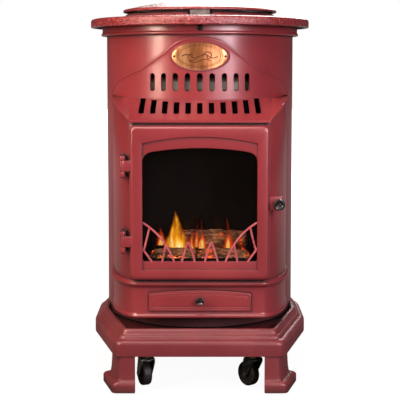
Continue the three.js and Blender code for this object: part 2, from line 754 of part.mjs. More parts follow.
// Stations of the hood: across the front lip, then back along each cheek.
function hoodStation(share) {
  const flatShare = 0.7;
  const side = Math.sign(share) || 1;
  const reach = Math.abs(share);
  const angle = skinHalfAngle * share;
  const corner = offsetPoint(planStations[cheekSteps + 1], hoodOverhang);
  if (reach <= flatShare) {
    const x = (corner[0] * reach) / flatShare;
    return { angle, share, lip: [side * x, corner[1]], z: hoodBottomZ };
  }
  const t = (reach - flatShare) / (1 - flatShare);
  const nearest = Math.min(cheekSteps, t * cheekSteps);
  const low = planStations[cheekSteps + 1 + Math.floor(nearest)];
  const high = planStations[Math.min(planStations.length - 1, cheekSteps + 2 + Math.floor(nearest))];
  const mix = nearest - Math.floor(nearest);
  const outset = hoodOverhang - 3 * t;
  const [p, q] = [offsetPoint(low, outset), offsetPoint(high, outset)];
  const lip = [side * (p[0] + (q[0] - p[0]) * mix), p[1] + (q[1] - p[1]) * mix];
  return { angle, share, lip, z: hoodEdgeZ(t) };
}

// The hood's sections; as a cutter they reach up past the hood and a gap below and beyond it.
function hoodSections(cutter) {
  const steps = 32;
  const sections = [];
  const gap = cutter ? touchGap : 0;
  const above = cutter ? hoodHeight : 0;
  for (let i = 0; i <= steps; i++) {
    const { angle, share, lip, z } = hoodStation((2 * i) / steps - 1);
    const [sin, cos] = [Math.sin(angle), Math.cos(angle)];
    const rear = skinOuter - 0.5;
    const rearZ = hoodRearZ(share);
    const away = [lip[0] - rear * sin, lip[1] + rear * cos];
    const length = Math.max(Math.hypot(...away), 1);
    const wall = Math.min(castWall, length * 0.4);
    const inward = [lip[0] - (away[0] / length) * wall, lip[1] - (away[1] / length) * wall];
    const edge = [0, 1].map((n) => lip[n] + (away[n] / length) * gap * 4);
    sections.push([
      [rear * sin, -rear * cos, rearZ + above], [...edge, z + hoodLip * 0.5 + above], [...edge, z - gap],
      [...inward, z - gap], [rear * sin, -rear * cos, rearZ - 6 - gap],
    ]);
  }
  return sections;
}

function makeUpperFascia() {
  const upperSlots = [];
  for (let i = -4; i <= 4; i++) {
    const slot = slotCutter(upperSlotWidth, upperSlotBottomZ, upperSlotTopZ, -drumRadius + 8, 25);
    upperSlots.push(turnedAboutZ(slot, i * upperSlotPitch));
  }
  const hoodSlots = [];
  for (let i = -5; i <= 5; i++) {
    const top = hoodTopZ - hoodSlotDrop * (1 - (i / 5) ** 2);
    const bottom = hoodBottomZ + hoodSlotLift;
    const half = hoodSlotWidth / 2;
    const shape = new THREE.Shape();
    shape.moveTo(-half, top - bottom);
    shape.lineTo(-half, half * 0.8);
    shape.quadraticCurveTo(-half, 0, 0, 0);
    shape.quadraticCurveTo(half, 0, half, half * 0.8);
    shape.lineTo(half, top - bottom);
    const bar = upright(shape, frontY + 110, 150, 3).rotate([0, -i * 0.7, 0]);
    hoodSlots.push(moved(bar, i * hoodSlotPitch, 0, bottom));
  }
  const badgeOuter = upright(ellipse(badgeHalfWidth + badgeBorder, badgeHalfHeight + badgeBorder - 1), 0, 260);
  const badgeInner = upright(ellipse(badgeHalfWidth + touchGap, badgeHalfHeight + touchGap), 10, 280);
  const shell = curvedShell(skinOuter - 1, skinOuter + 2, badgeZ - 40, badgeZ + 40);
  const border = cut(shell.intersect(moved(badgeOuter, 0, 0, badgeZ)), moved(badgeInner, 0, 0, badgeZ));
  const whole = join(makeSkin(), loft(hoodSections(false)), border);
  return cut(whole, ...upperSlots, ...hoodSlots, insideDrum());
}

function ellipse(halfWidth, halfHeight) {
  const shape = new THREE.Shape();
  shape.absellipse(0, 0, halfWidth, halfHeight, 0, 2 * Math.PI);
  return new THREE.Shape(shape.getPoints(18));
}

// A band of a cylinder's wall round the front of the drum's axis.
function curvedShell(inner, outer, z0, z1) {
  const ring = turned([[inner, z0], [outer, z0], [outer, z1], [inner, z1]], 96);
  return ring.intersect(block(-100, 100, -outer - 5, 0, z0, z1));
}

function makeBadge() {
  const seat = skinOuter + touchGap;
  const plate = curvedShell(seat, seat + badgeSheet, badgeZ - 40, badgeZ + 40);
  const outline = moved(upright(ellipse(badgeHalfWidth, badgeHalfHeight), 0, 260), 0, 0, badgeZ);
  const rivetAngle = (Math.asin(rivetX / seat) * 180) / Math.PI;
  const rivets = [-1, 1].map((side) => {
    const rivet = moved(rod('y', 2.4, -seat - badgeSheet - 1, -seat - 0.5, 12), 0, 0, badgeZ);
    return turnedAboutZ(rivet, side * rivetAngle);
  });
  return join(plate.intersect(outline), ...rivets);
}

// ---- Door surround and lower casing ----
const openingHalfWidth = windowHalfWidth + 5;
const openingSill = windowSill - 8;
const openingHeight = windowHeight + 18;
const magnetZ = doorBottomZ + 150;
const magnetX0 = fireboxHalfWidth + slideGap;

function makeDoorSurround() {
  const shell = planSweep(({ t }) => {
    const top = hoodEdgeZ(t) + hoodLip;
    const bottom = ledgeTopZ + touchGap;
    return [[0, bottom], [0, top], [-castWall, top], [-castWall, bottom]];
  });
  const opening = upright(
    roundedRect(-openingHalfWidth, openingHalfWidth, doorBottomZ + openingSill,
      doorBottomZ + openingSill + openingHeight, 12),
    frontY + 10, 20, 2
  );
  const magnetHole = block(
    magnetX0 - touchGap, magnetX0 + magnetWidth + touchGap, frontY - 2, frontY + 10,
    magnetZ - magnetHalfHeight - touchGap, magnetZ + magnetHalfHeight + touchGap
  );
  const skinSeat = rod('z', skinOuter + touchGap, skinBottomZ - touchGap, hoodTopZ + 20, drumSides * 2);
  return cut(shell, opening, magnetHole, loft(hoodSections(true)), skinSeat, insideDrum());
}

function makeMagnetCatch() {
  const flange = block(magnetX0, magnetX0 + magnetWidth, frontY + castWall + touchGap, frontY + castWall + 8,
    magnetZ - magnetHalfHeight - 6, magnetZ + magnetHalfHeight + 6);
  const face = block(magnetX0, magnetX0 + magnetWidth, frontY, frontY + castWall + 1,
    magnetZ - magnetHalfHeight, magnetZ + magnetHalfHeight);
  return join(flange, face);
}

const drawerBottomZ = casingBottomZ + drawerLift;
const drawerSideTopZ = drawerBottomZ + drawerSideHeight;
const drawerCrownZ = drawerBottomZ + drawerCrownHeight;
const panBottomZ = drawerBottomZ + 4;
const drawerBackY = frontY + drawerRecess;
const drawerFaceY = drawerBackY - drawerThickness;

function makeLowerCasing() {
  const top = ledgeTopZ;
  const shell = planSweep(() => [
    [-castWall, casingBottomZ], [2, casingBottomZ], [3.5, casingBottomZ + 1.5], [3.5, casingBottomZ + 4.5],
    [0, casingBottomZ + casingFoot], [0, ledgeBottomZ - 2], [5, ledgeBottomZ + 1], [7, ledgeBottomZ + 4],
    [6.5, ledgeBottomZ + 8], [2.5, top], [-castWall, top],
  ]);
  const opening = upright(
    archedRect(drawerHalfWidth + slideGap, drawerBottomZ - slideGap, drawerSideTopZ + slideGap, drawerCrownZ + slideGap),
    frontY + 10, 20
  );
  return cut(shell, opening, insideDrum());
}

// ---- Drawer ----
function makeDrawerFront() {
  const panel = upright(
    archedRect(drawerHalfWidth, drawerBottomZ, drawerSideTopZ, drawerCrownZ), drawerBackY, drawerThickness
  );
  const beadOuter = archedRect(drawerHalfWidth - 4, drawerBottomZ + 4, drawerSideTopZ - 3, drawerCrownZ - 3.5);
  const beadInner = archedRect(drawerHalfWidth - 7, drawerBottomZ + 7, drawerSideTopZ - 5.5, drawerCrownZ - 6.5);
  const bead = cut(upright(beadOuter, drawerFaceY + 0.5, 2.2), upright(beadInner, drawerBackY, 12));
  return join(panel, bead);
}

function makeDrawerPan() {
  const front = drawerBackY + touchGap;
  const top = panBottomZ + panHeight;
  const outside = block(-panHalfWidth, panHalfWidth, front, front + drawerDepth, panBottomZ, top);
  const inside = block(
    -panHalfWidth + panWall, panHalfWidth - panWall, front + panWall, front + drawerDepth - panWall,
    panBottomZ + panWall, top + 5
  );
  return cut(outside, inside);
}

// Fixed tray behind the casing on which the pan slides.
function makeDrawerGuide() {
  const front = frontY + castWall + touchGap;
  const side = panHalfWidth + touchGap + 1.6;
  const floor = panBottomZ - touchGap;
  const outside = block(-side, side, front, front + drawerDepth + 1, floor - 1.6, floor + 22);
  const inside = block(
    -panHalfWidth - touchGap, panHalfWidth + touchGap, front - 5, front + drawerDepth + 5, floor, floor + 30
  );
  return cut(outside, inside);
}

function makeSmallKnob(radius, length, seatY, x, z) {
  const neck = radius * 0.45;
  const knob = turned([
    [0, 0], [neck, 0], [neck, length * 0.35], [radius * 0.9, length * 0.45], [radius, length * 0.6],
    [radius, length * 0.85], [radius * 0.85, length], [radius * 0.6, length * 0.93], [0, length * 0.9],
  ], 16);
  return moved(knob.rotate([90, 0, 0]), x, seatY, z);
}

// ---- Door ----
const windowBottomZ = doorBottomZ + windowSill;
const windowTopZ = windowBottomZ + windowHeight;
const hingeX = -(doorHalfWidth + hingeOffset);
const hingeY = frontY - 8;
const tabZ = doorBottomZ + catchTabZ;
const tabFaceY = doorFrontY + 4;
const doorKnobX = doorHalfWidth + catchTabReach - 6.7;
const rebateRim = 6; // rebate for the glass beyond the window

function windowShape(halfWidth, z0, z1) {
  const shape = new THREE.Shape();
  const foot = 6;
  shape.moveTo(-halfWidth + foot, z0);
  shape.lineTo(halfWidth - foot, z0);
  shape.quadraticCurveTo(halfWidth, z0, halfWidth, z0 + foot);
  shape.lineTo(halfWidth, z1 - 30);
  shape.quadraticCurveTo(halfWidth, z1 - 11, halfWidth - 19, z1 - 7.5);
  shape.quadraticCurveTo(0, z1 + 7.5, -halfWidth + 19, z1 - 7.5);
  shape.quadraticCurveTo(-halfWidth, z1 - 11, -halfWidth, z1 - 30);
  shape.lineTo(-halfWidth, z0 + foot);
  shape.quadraticCurveTo(-halfWidth, z0, -halfWidth + foot, z0);
  return shape;
}

// A flat bar of even width along a curve in the door's plane.
function fretBar(curve, steps) {
  const sides = [[], []];
  for (let i = 0; i <= steps; i++) {
    const p = curve.getPoint(i / steps);
    const tangent = curve.getTangent(i / steps);
    const [nx, nz] = [-tangent.y * (fretWidth / 2), tangent.x * (fretWidth / 2)];
    sides[0].push(new THREE.Vector2(p.x + nx, p.y + nz));
    sides[1].unshift(new THREE.Vector2(p.x - nx, p.y - nz));
  }
  return upright(new THREE.Shape([...sides[0], ...sides[1]]), doorFrontY + recessDepth + 5, 4.5);
}

// Bars of one half of the fret, from the middle out: [start, bend, end] as distances from the
// middle line and heights over the window's sill. The other half mirrors them.
function fretHalf() {
  const sill = -2;
  const w = windowHalfWidth;
  const bars = [
    [[w + 2, 78], [70.5, 53.5], [50, sill]],
    [[w - 14, 67], [w - 9, 45], [w - 3, 23]],
    [[w + 2, 27], [w - 9, 14], [w - 19, sill]],
    [[67, 33], [71, 14], [74, sill]],
    [[22.7, 38], [30, 20], [35.5, sill]],
    [[22.7, 38], [14, 20], [10, sill]],
  ];
  return bars.map((points) => {
    const curve = new THREE.QuadraticBezierCurve(
      ...points.map(([x, z]) => new THREE.Vector2(x, windowBottomZ + z))
    );
    return fretBar(curve, points[0][0] > w ? 10 : 4);
  });
}

function makeDoorFrame() {
  const outline = (inset) =>
    roundedRect(-doorHalfWidth + inset, doorHalfWidth - inset, doorBottomZ + inset, doorTopZ - inset, 10 - inset * 0.5)
      .getPoints(2);
  const section = (inset, y) => outline(inset).map((p) => [p.x, y, p.y]);
  const slab = loft([
    section(0, doorBackY), section(0, doorFrontY + 4.5), section(1.2, doorFrontY + 1.3), section(4, doorFrontY),
  ]);
  const recess = upright(
    archedRect(windowHalfWidth, windowBottomZ - 17, windowTopZ + 9, windowTopZ + 22), doorFrontY + recessDepth, 10
  );
  const window = upright(windowShape(windowHalfWidth - 0.2, windowBottomZ, windowTopZ), frontY + 5, 30);
  const rebate = block(
    -windowHalfWidth - rebateRim, windowHalfWidth + rebateRim, doorBackY - glassRebate, doorBackY + 3,
    windowBottomZ - rebateRim, windowTopZ + rebateRim
  );
  const bars = fretHalf();
  const lugs = [upperLugZ, lowerLugZ].map((z) => {
    const lug = block(hingeX, -doorHalfWidth + 1, hingeY - 5, hingeY + 4, doorBottomZ + z - lugHeight / 2,
      doorBottomZ + z + lugHeight / 2);
    const eye = rod('z', knuckleRadius, doorBottomZ + z - lugHeight / 2, doorBottomZ + z + lugHeight / 2, 14);
    return join(lug, moved(eye, hingeX, hingeY, 0));
  });
  const tab = block(doorHalfWidth - 1, doorHalfWidth + catchTabReach, tabFaceY, tabFaceY + 6,
    tabZ - catchTabHalfHeight, tabZ + catchTabHalfHeight);
  const bore = moved(rod('z', hingePinRadius + 0.3, doorBottomZ, doorTopZ, 16), hingeX, hingeY, 0);
  const frame = cut(slab, recess, window, rebate);
  return cut(join(frame, ...bars, ...bars.map(mirroredX), ...lugs, tab), bore);
}

function makeDoorGlass() {
  const clear = rebateRim - slideGap;
  const front = doorBackY - glassRebate + touchGap;
  return block(-windowHalfWidth - clear, windowHalfWidth + clear, front, front + glassThickness,
    windowBottomZ - clear, windowTopZ + clear);
}

// The bracket's two knuckles stand above and below the door's lug on arms from the cheek.
function makeHingeBracket(z) {
  const half = lugHeight / 2;
  const arm = (z0, z1) => join(
    block(hingeX - 5, hingeX + 7, hingeY, frontY + 45, z0, z1),
    moved(rod('z', knuckleRadius, z0, z1, 14), hingeX, hingeY, 0)
  );
  const middle = doorBottomZ + z;
  const back = block(hingeX - 9, hingeX + 7, frontY + 12, frontY + 45, middle - half - 11, middle + half + 10);
  const bore = moved(rod('z', hingePinRadius + 0.3, 0, drumTopZ, 16), hingeX, hingeY, 0);
  const whole = join(back, arm(middle - half - 11, middle - half - touchGap), arm(middle + half + touchGap, middle + half + 10));
  return cut(whole, bore, bodyPrism());
}

// Everything behind the cheeks' outer face, with a touching gap.
function bodyPrism() {
  const outer = planStations.map((station) => offsetPoint(station, touchGap));
  const shape = new THREE.Shape([...outer.map(([x, y]) => new THREE.Vector2(x, y)), new THREE.Vector2(0, 40)]);
  return flat(shape, 0, drumTopZ);
}

function makeHingePin(z) {
  const middle = doorBottomZ + z;
  const [bottom, top] = [middle - lugHeight / 2 - 13, middle + lugHeight / 2 + 10 + touchGap];
  const pin = rod('z', hingePinRadius, bottom, top + 1, 16);
  const head = rod('z', 4.5, top, top + 3, 16);
  return moved(join(pin, head), hingeX, hingeY, 0);
}

// ---- Fire ----
const fireboxFrontY = frontY + castWall + touchGap;
const fireboxBackY = fireboxFrontY + fireboxDepth;
const fireboxBottomZ = doorBottomZ + fireboxLift;
const shieldY = fireboxBackY + shieldGap;
const burnerZ = fireboxBottomZ + sheet + touchGap;
const burnerTopZ = burnerZ + burnerHeight;
const emberFloorZ = burnerTopZ - emberPocket;
const burnerBackY = fireboxBackY - 18;
const gasInletZ = burnerZ + burnerHeight / 2;

function makeFirebox() {
  const outside = block(-fireboxHalfWidth, fireboxHalfWidth, fireboxFrontY, fireboxBackY, fireboxBottomZ,
    fireboxBottomZ + fireboxHeight);
  const inside = block(-fireboxHalfWidth + sheet, fireboxHalfWidth - sheet, fireboxFrontY - 5, fireboxBackY - sheet,
    fireboxBottomZ + sheet, fireboxBottomZ + fireboxHeight + 5);
  const pipeHole = moved(rod('y', pipeRadius + 2, fireboxBackY - 10, fireboxBackY + 10, 16), pipeX, 0, gasInletZ);
  return cut(outside, inside, pipeHole);
}

function makeHeatShield() {
  const half = Math.sqrt((drumRadius - drumWall - 5.5) ** 2 - shieldY ** 2);
  const plate = block(-half, half, shieldY, shieldY + shieldSheet, drumBottomZ, drumTopZ - 30);
  const pipeHole = moved(rod('y', pipeRadius + 2, shieldY - 5, shieldY + 10, 16), pipeX, 0, gasInletZ);
  return cut(plate, pipeHole);
}

function makeBurnerTray() {
  const half = burnerHalfWidth;
  const front = fireboxFrontY + 6;
  const outside = block(-half, half, front, burnerBackY, burnerZ, burnerTopZ);
  const inside = block(
    -half + panWall, half - panWall, front + panWall, burnerBackY - burnerShelf, emberFloorZ, burnerTopZ + 5
  );
  return cut(outside, inside);
}

// A log: rings of a slowly varying radius along a slightly bent line.
function makeLog(start, end, radius, phase) {
  const a = new THREE.Vector3(...start);
  const b = new THREE.Vector3(...end);
  const along = b.clone().sub(a).normalize();
  const side = new THREE.Vector3(0, 0, 1).cross(along).normalize();
  const up = along.clone().cross(side);
  const rings = 9;
  const sides = 10;
  const sections = [];
  for (let i = 0; i <= rings; i++) {
    const share = i / rings;
    const middle = a.clone().lerp(b, share).addScaledVector(up, radius * 0.12 * Math.sin(share * 5 + phase));
    const swell = radius * (0.9 + 0.1 * Math.sin(share * 9 + phase));
    const section = [];
    for (let j = 0; j < sides; j++) {
      const angle = (j / sides) * 2 * Math.PI;
      const r = swell * (1 + 0.07 * Math.sin(3 * angle + phase) + 0.05 * Math.sin(5 * angle - phase * 2));
      const p = middle.clone().addScaledVector(side, r * Math.cos(angle)).addScaledVector(up, r * Math.sin(angle));
      section.push([p.x, p.y, p.z]);
    }
    sections.push(section);
  }
  return loft(sections);
}

// The pilot: a bracket on the burner tray's rear shelf with a small burner, a sensor and an electrode.
function makePilot() {
  const x = -86;
  const y = burnerBackY - burnerShelf / 2;
  const foot = burnerTopZ + touchGap;
  const bracket = block(x - 14, x + 14, y - 6, y + 6, foot, foot + 2);
  const jet = moved(rod('z', 4, foot + 1, foot + 22, 12), x, y, 0);
  const sensor = moved(rod('z', 2.2, foot + 1, foot + 34, 8), x + 9, y, 0);
  const electrode = moved(rod('z', 2, foot + 1, foot + 30, 8), x - 9, y, 0);
  return join(bracket, jet, sensor, electrode);
}

// Gas pipe from the valve's outlet, down behind the heat shield and forward into the burner.
function makeGasPipe() {
  const start = knobPlace[1] - 26 - touchGap;
  const dropY = shieldY + 17;
  const end = burnerBackY + touchGap;
  const z = gasInletZ;
  const bend = 22;
  return tube([
    [pipeX, start, valveOutletZ], [pipeX, start - 30, valveOutletZ], [pipeX, dropY + bend, valveOutletZ],
    [pipeX, dropY + 4, valveOutletZ - 5], [pipeX, dropY, valveOutletZ - bend],
    [pipeX, dropY, (valveOutletZ + z) / 2], [pipeX, dropY, z + 14], [pipeX, dropY - 3, z + 3],
    [pipeX, dropY - 13, z], [pipeX, (dropY + end) / 2 - 8, z], [pipeX, end, z],
  ], pipeRadius, 4, 30);
}

// ---- Base ----
// The plinth's plan: long in the middle of each side, with cut corners, drawn at an inset.
function plinthOutline(inset, radius = 14, steps = 3) {
  const w = plinthHalfWidth - inset;
  const d = plinthHalfDepth - inset;
  const run = [plinthHalfWidth - plinthFrontHalfWidth, plinthChamferLength];
  const length = Math.hypot(...run);
  // Where the cut corner, moved in by the inset, crosses the moved sides.
  const frontX = plinthFrontHalfWidth - inset * ((length - run[0]) / run[1]);
  const sideY = plinthHalfDepth - plinthChamferLength - inset * ((length - run[1]) / run[0]);
  const quarter = [[w, sideY], [frontX, d]];
  const corners = [
    ...quarter, ...quarter.map(([x, y]) => [-x, y]).reverse(),
    ...quarter.map(([x, y]) => [-x, -y]), ...quarter.map(([x, y]) => [x, -y]).reverse(),
  ];
  const points = [];
  corners.forEach((corner, i) => {
    const before = corners[(i + corners.length - 1) % corners.length];
    const after = corners[(i + 1) % corners.length];
    const cutBack = Math.max(radius - inset * 0.3, 3);
    const toward = (target) => {
      const gap = Math.hypot(target[0] - corner[0], target[1] - corner[1]);
      return [corner[0] + ((target[0] - corner[0]) * cutBack) / gap, corner[1] + ((target[1] - corner[1]) * cutBack) / gap];
    };
    const [a, b] = [toward(before), toward(after)];
    for (let k = 0; k <= steps; k++) {
      const t = k / steps;
      points.push([0, 1].map((n) => (1 - t) ** 2 * a[n] + 2 * t * (1 - t) * corner[n] + t ** 2 * b[n]));
    }
  });
  return points;
}

const plinthFloorTopZ = drumBottomZ - touchGap - traySheet - touchGap;

function makePlinth() {
  const top = plinthTopZ;
  const profile = [
    [0, bandBottomZ], [0, bandTopZ], [1.5, bandTopZ + 4], [5, bandTopZ + 7], [10, bandTopZ + 8.5],
    [13, bandTopZ + 15], [17, bandTopZ + 17], [20, top - 2], [24, top], [28, top], [30.5, top - 3],
    [30.5, bandTopZ + 3], [6, bandTopZ - 2], [5, bandBottomZ],
  ];
  const ring = loft(profile.map(([inset, z]) => plinthOutline(inset).map(([x, y]) => [x, y, z])), true);
  const floorShape = new THREE.Shape(plinthOutline(29).map(([x, y]) => new THREE.Vector2(x, y)));
  const drumSeat = rod('z', drumRadius + touchGap, plinthFloorTopZ, plinthTopZ + 5, drumSides);
  const slab = flat(floorShape, plinthFloorTopZ - plinthFloorSheet, plinthFloorSheet);
  return cut(join(ring, slab), moved(drumSeat, 0, drumAxisY, 0));
}

// A leg under the front right corner of the plinth: an angle-section casting, open towards the
// castor behind it, with a flared post and a stepped toe.
function makeLeg() {
  const top = bandBottomZ - touchGap;
  const toeTop = footClearance + toeHeight;
  const frontFace = plinthHalfDepth - 1;
  const slope = (plinthHalfWidth - plinthFrontHalfWidth) / plinthChamferLength;
  const section = (flare, z) => {
    const cornerX = plinthFrontHalfWidth - 7 + flare * 1.7;
    const front = frontFace + flare;
    const sideX = cornerX + legSideReach * slope + flare * 0.8;
    const sideY = frontFace - legSideReach - flare;
    const innerCornerX = plinthFrontHalfWidth - 7 - legWall;
    return [
      [cornerX, front], [legInnerX, front], [legInnerX, frontFace - legWall], [innerCornerX, frontFace - legWall],
      [innerCornerX + legSideReach * slope, sideY], [sideX, sideY],
    ].map(([x, y]) => [x, -y, z]);
  };
  return loft([
    section(-1, top), section(-0.5, top - 18), section(0, toeTop + 12), section(0.8, toeTop),
    section(toeProjection * 0.8, toeTop - 1.5), section(toeProjection + 1, toeTop - 6),
    section(toeProjection + 1, footClearance),
  ]);
}

// A folded channel under the plinth's floor that carries two castors.
function makeBearer(y) {
  const half = bearerHalfWidth;
  const length = legInnerX - 1;
  const top = plinthFloorTopZ - plinthFloorSheet - touchGap;
  const outside = block(-length, length, y - half, y + half, castorHeight + touchGap, top);
  const inside = block(-length - 5, length + 5, y - half + bearerSheet, y + half - bearerSheet,
    castorHeight + touchGap + bearerSheet, top + 5);
  return cut(outside, inside);
}

// A castor in its own frame: the swivel's axis is z, and the wheel trails towards +Y.
const forkArmX = wheelWidth / 2 + 1.6;
const forkTopZ = 2 * wheelRadius + 10;

function makeCastorPlate() {
  const plate = block(-19, 19, -17, 17, castorHeight - 3, castorHeight);
  const race = rod('z', 13, forkTopZ + touchGap, castorHeight - 2, 12);
  const pin = rod('z', 4, forkTopZ - 3, forkTopZ + 2, 10);
  return join(plate, race, pin);
}

function makeCastorFork() {
  const armSheet = 2.5;
  const outline = new THREE.Shape();
  outline.moveTo(-13, forkTopZ);
  outline.lineTo(13, forkTopZ);
  outline.lineTo(castorTrail + 6, axleZ + 2);
  outline.absarc(castorTrail, axleZ, 7, 0, -Math.PI, true);
  outline.lineTo(-13, forkTopZ - 8);
  const side = new THREE.ExtrudeGeometry(outline, { depth: armSheet, bevelEnabled: false, curveSegments: 2 });
  side.rotateX(Math.PI / 2);
  side.rotateZ(Math.PI / 2);
  const arm = solid(side);
  const bridge = block(-forkArmX - 1, forkArmX + 1, -13, 13, forkTopZ - 3, forkTopZ);
  const head = rod('z', 14.5, forkTopZ - 4, forkTopZ, 12);
  const axle = moved(rod('x', 3, -forkArmX - armSheet - 1.5, forkArmX + armSheet + 1.5, 10), 0, castorTrail, axleZ);
  const pinHole = rod('z', 4.4, forkTopZ - 10, forkTopZ + 5, 10);
  return cut(join(moved(arm, forkArmX, 0, 0), moved(arm, -forkArmX - armSheet, 0, 0), bridge, head, axle), pinHole);
}

function makeCastorWheel() {
  const half = wheelWidth / 2;
  const wheel = turned([
    [3.3, -half + 2], [wheelRadius - 7, -half + 2], [wheelRadius - 5, -half], [wheelRadius, -half + 2.5],
    [wheelRadius, half - 2.5], [wheelRadius - 5, half], [wheelRadius - 7, half - 2], [3.3, half - 2],
  ], wheelSides);
  return moved(wheel.rotate([0, 0, 180 / wheelSides]).rotate([0, 90, 0]), 0, castorTrail, axleZ);
}

// ---- Assembly ----
const add = (name, piece, finish) => addMesh(body, name, piece, finishes[finish]());
const addToBase = (name, piece, finish) => addMesh(heater, name, piece, finishes[finish]());

add('drum_shell', makeDrum(), 'enamel');
add('bottle_tray', makeBottleTray(), 'blackSteel');
add('rear_door', makeRearDoor(), 'enamel');
add('rear_hinge_rod', makeRearHingeRod(), 'zinc');
add('rear_door_pull', makeRearPull(), 'blackPlastic');
add('collar_ring', makeCollar(), 'enamel');
add('collar_screw', makeCollarScrew(), 'blackSteel');
add('top_plate', makeTopPlate(), 'castEnamel');
add('lid', makeLid(), 'castEnamel');
add('lid_hinge_pin', makeLidPin(), 'zinc');
add('lid_rest_tab', makeLidRestTab(), 'steel');
add('control_plate', makeControlPlate(), 'blackSteel');
add('control_knob', makeControlKnob(), 'blackPlastic');
add('igniter_button', makeIgniterButton(), 'blackPlastic');
add('igniter_barrel', makeIgniterBarrel(), 'blackPlastic');
add('gas_valve', makeGasValve(), 'brass');
add('gas_pipe', makeGasPipe(), 'brass');
add('upper_fascia', makeUpperFascia(), 'enamel');
add('badge_plate', makeBadge(), 'copper');
add('door_surround', makeDoorSurround(), 'enamel');
add('lower_casing', makeLowerCasing(), 'enamel');
add('magnet_catch', makeMagnetCatch(), 'blackSteel');
add('door_frame', makeDoorFrame(), 'enamel');
add('door_glass', makeDoorGlass(), 'glass');
const doorKnob = makeSmallKnob(doorKnobRadius, doorKnobLength, tabFaceY - touchGap, doorKnobX, tabZ);
add('door_knob', doorKnob, 'blackPlastic');
for (const [place, z] of [['upper', upperLugZ], ['lower', lowerLugZ]]) {
  add(`hinge_bracket_${place}`, makeHingeBracket(z), 'enamel');
  add(`hinge_pin_${place}`, makeHingePin(z), 'blackSteel');
}
add('drawer_front', makeDrawerFront(), 'enamel');
const drawerKnob = makeSmallKnob(drawerKnobRadius, drawerKnobLength, drawerFaceY - touchGap, 0,
  drawerBottomZ + drawerKnobLift);
add('drawer_knob', drawerKnob, 'blackPlastic');
add('drawer_pan', makeDrawerPan(), 'blackSteel');
add('drawer_guide', makeDrawerGuide(), 'blackSteel');
add('firebox', makeFirebox(), 'blackSteel');
add('heat_shield', makeHeatShield(), 'steel');
add('burner_tray', makeBurnerTray(), 'blackSteel');
add('pilot_burner', makePilot(), 'steel');
// Lowers or raises a log until its lowest point rests at a height.
const settle = (log, z) => moved(log, 0, 0, z + touchGap - log.boundingBox().min[2]);
const backRow = burnerBackY - 12;
const frontRow = fireboxFrontY + 24;
const backLog = makeLog([-62, backRow, 0], [98, backRow, 1], backLogRadius, 0.6);
const leftLog = makeLog([-92, frontRow + 3, 0], [-8, frontRow + 12, 3], frontLogRadius, 2.1);
const rightLog = makeLog([4, frontRow + 13, 4], [94, frontRow + 1, 0], frontLogRadius, 4.0);
add('log_back', settle(backLog, burnerTopZ - 1), 'ceramic'); // it bears behind its lowest point
add('log_left', settle(leftLog, emberFloorZ), 'ceramic');
add('log_right', settle(rightLog, emberFloorZ), 'ceramic');

addToBase('base_plinth', makePlinth(), 'castEnamel');
const leg = makeLeg();
addToBase('leg_front_right', leg, 'castEnamel');
addToBase('leg_front_left', mirroredX(leg), 'castEnamel');
addToBase('leg_rear_right', mirroredY(leg), 'castEnamel');
addToBase('leg_rear_left', mirroredX(mirroredY(leg)), 'castEnamel');
addToBase('bearer_front', makeBearer(-castorY), 'blackSteel');
addToBase('bearer_rear', makeBearer(castorY), 'blackSteel');

// Each castor stands as it was left: [name, side in x, side in y, turn of its fork in degrees].
const castors = [
  ['front_left', -1, -1, 20], ['front_right', 1, -1, 37], ['rear_left', -1, 1, 24], ['rear_right', 1, 1, 31],
];
for (const [place, sideX, sideY, turn] of castors) {
  const castor = new THREE.Group();
  castor.position.set(sideX * castorX, sideY * castorY, 0);
  const swivel = new THREE.Group();
  swivel.rotation.z = (turn * Math.PI) / 180;
  castor.add(swivel);
  addMesh(castor, `castor_${place}_plate`, makeCastorPlate(), finishes.zinc());
  addMesh(swivel, `castor_${place}_fork`, makeCastorFork(), finishes.blackSteel());
  addMesh(swivel, `castor_${place}_wheel`, makeCastorWheel(), finishes.rubber());
  heater.add(castor);
}

body.position.y = drumAxisY;
heater.add(body);

export default heater;
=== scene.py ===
import json
import math
import bmesh
import bpy
import numpy as np
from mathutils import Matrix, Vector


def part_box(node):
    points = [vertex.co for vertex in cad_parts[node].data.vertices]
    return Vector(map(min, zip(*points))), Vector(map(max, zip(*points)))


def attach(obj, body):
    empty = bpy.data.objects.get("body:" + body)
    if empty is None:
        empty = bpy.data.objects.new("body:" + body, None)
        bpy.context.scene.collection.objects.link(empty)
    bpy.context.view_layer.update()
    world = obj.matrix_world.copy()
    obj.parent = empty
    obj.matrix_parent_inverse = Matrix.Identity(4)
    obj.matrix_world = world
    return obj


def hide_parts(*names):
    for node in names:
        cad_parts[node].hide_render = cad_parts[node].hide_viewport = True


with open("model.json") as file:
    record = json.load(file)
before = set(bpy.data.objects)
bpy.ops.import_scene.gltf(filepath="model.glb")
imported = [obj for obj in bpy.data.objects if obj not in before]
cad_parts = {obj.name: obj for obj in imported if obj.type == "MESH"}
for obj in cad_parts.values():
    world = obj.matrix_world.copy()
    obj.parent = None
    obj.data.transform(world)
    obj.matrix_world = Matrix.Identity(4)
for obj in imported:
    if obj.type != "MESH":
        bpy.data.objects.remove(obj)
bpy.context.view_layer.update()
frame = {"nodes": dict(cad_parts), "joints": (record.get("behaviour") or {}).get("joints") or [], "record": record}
print("frame loaded")

# Lengths below are millimetres, measured from the drum's upright axis; the mesh maker turns them to metres.
axisY = sum(corner.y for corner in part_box("drum_shell")) * 500
places = {"front_left": (-1, -1), "front_right": (1, -1), "rear_left": (-1, 1), "rear_right": (1, 1)}


def boxOf(node):
    # lowest and highest corner of a CAD node, mm from the drum's axis
    return [np.array(corner) * 1000 - (0, axisY, 0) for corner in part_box(node)]


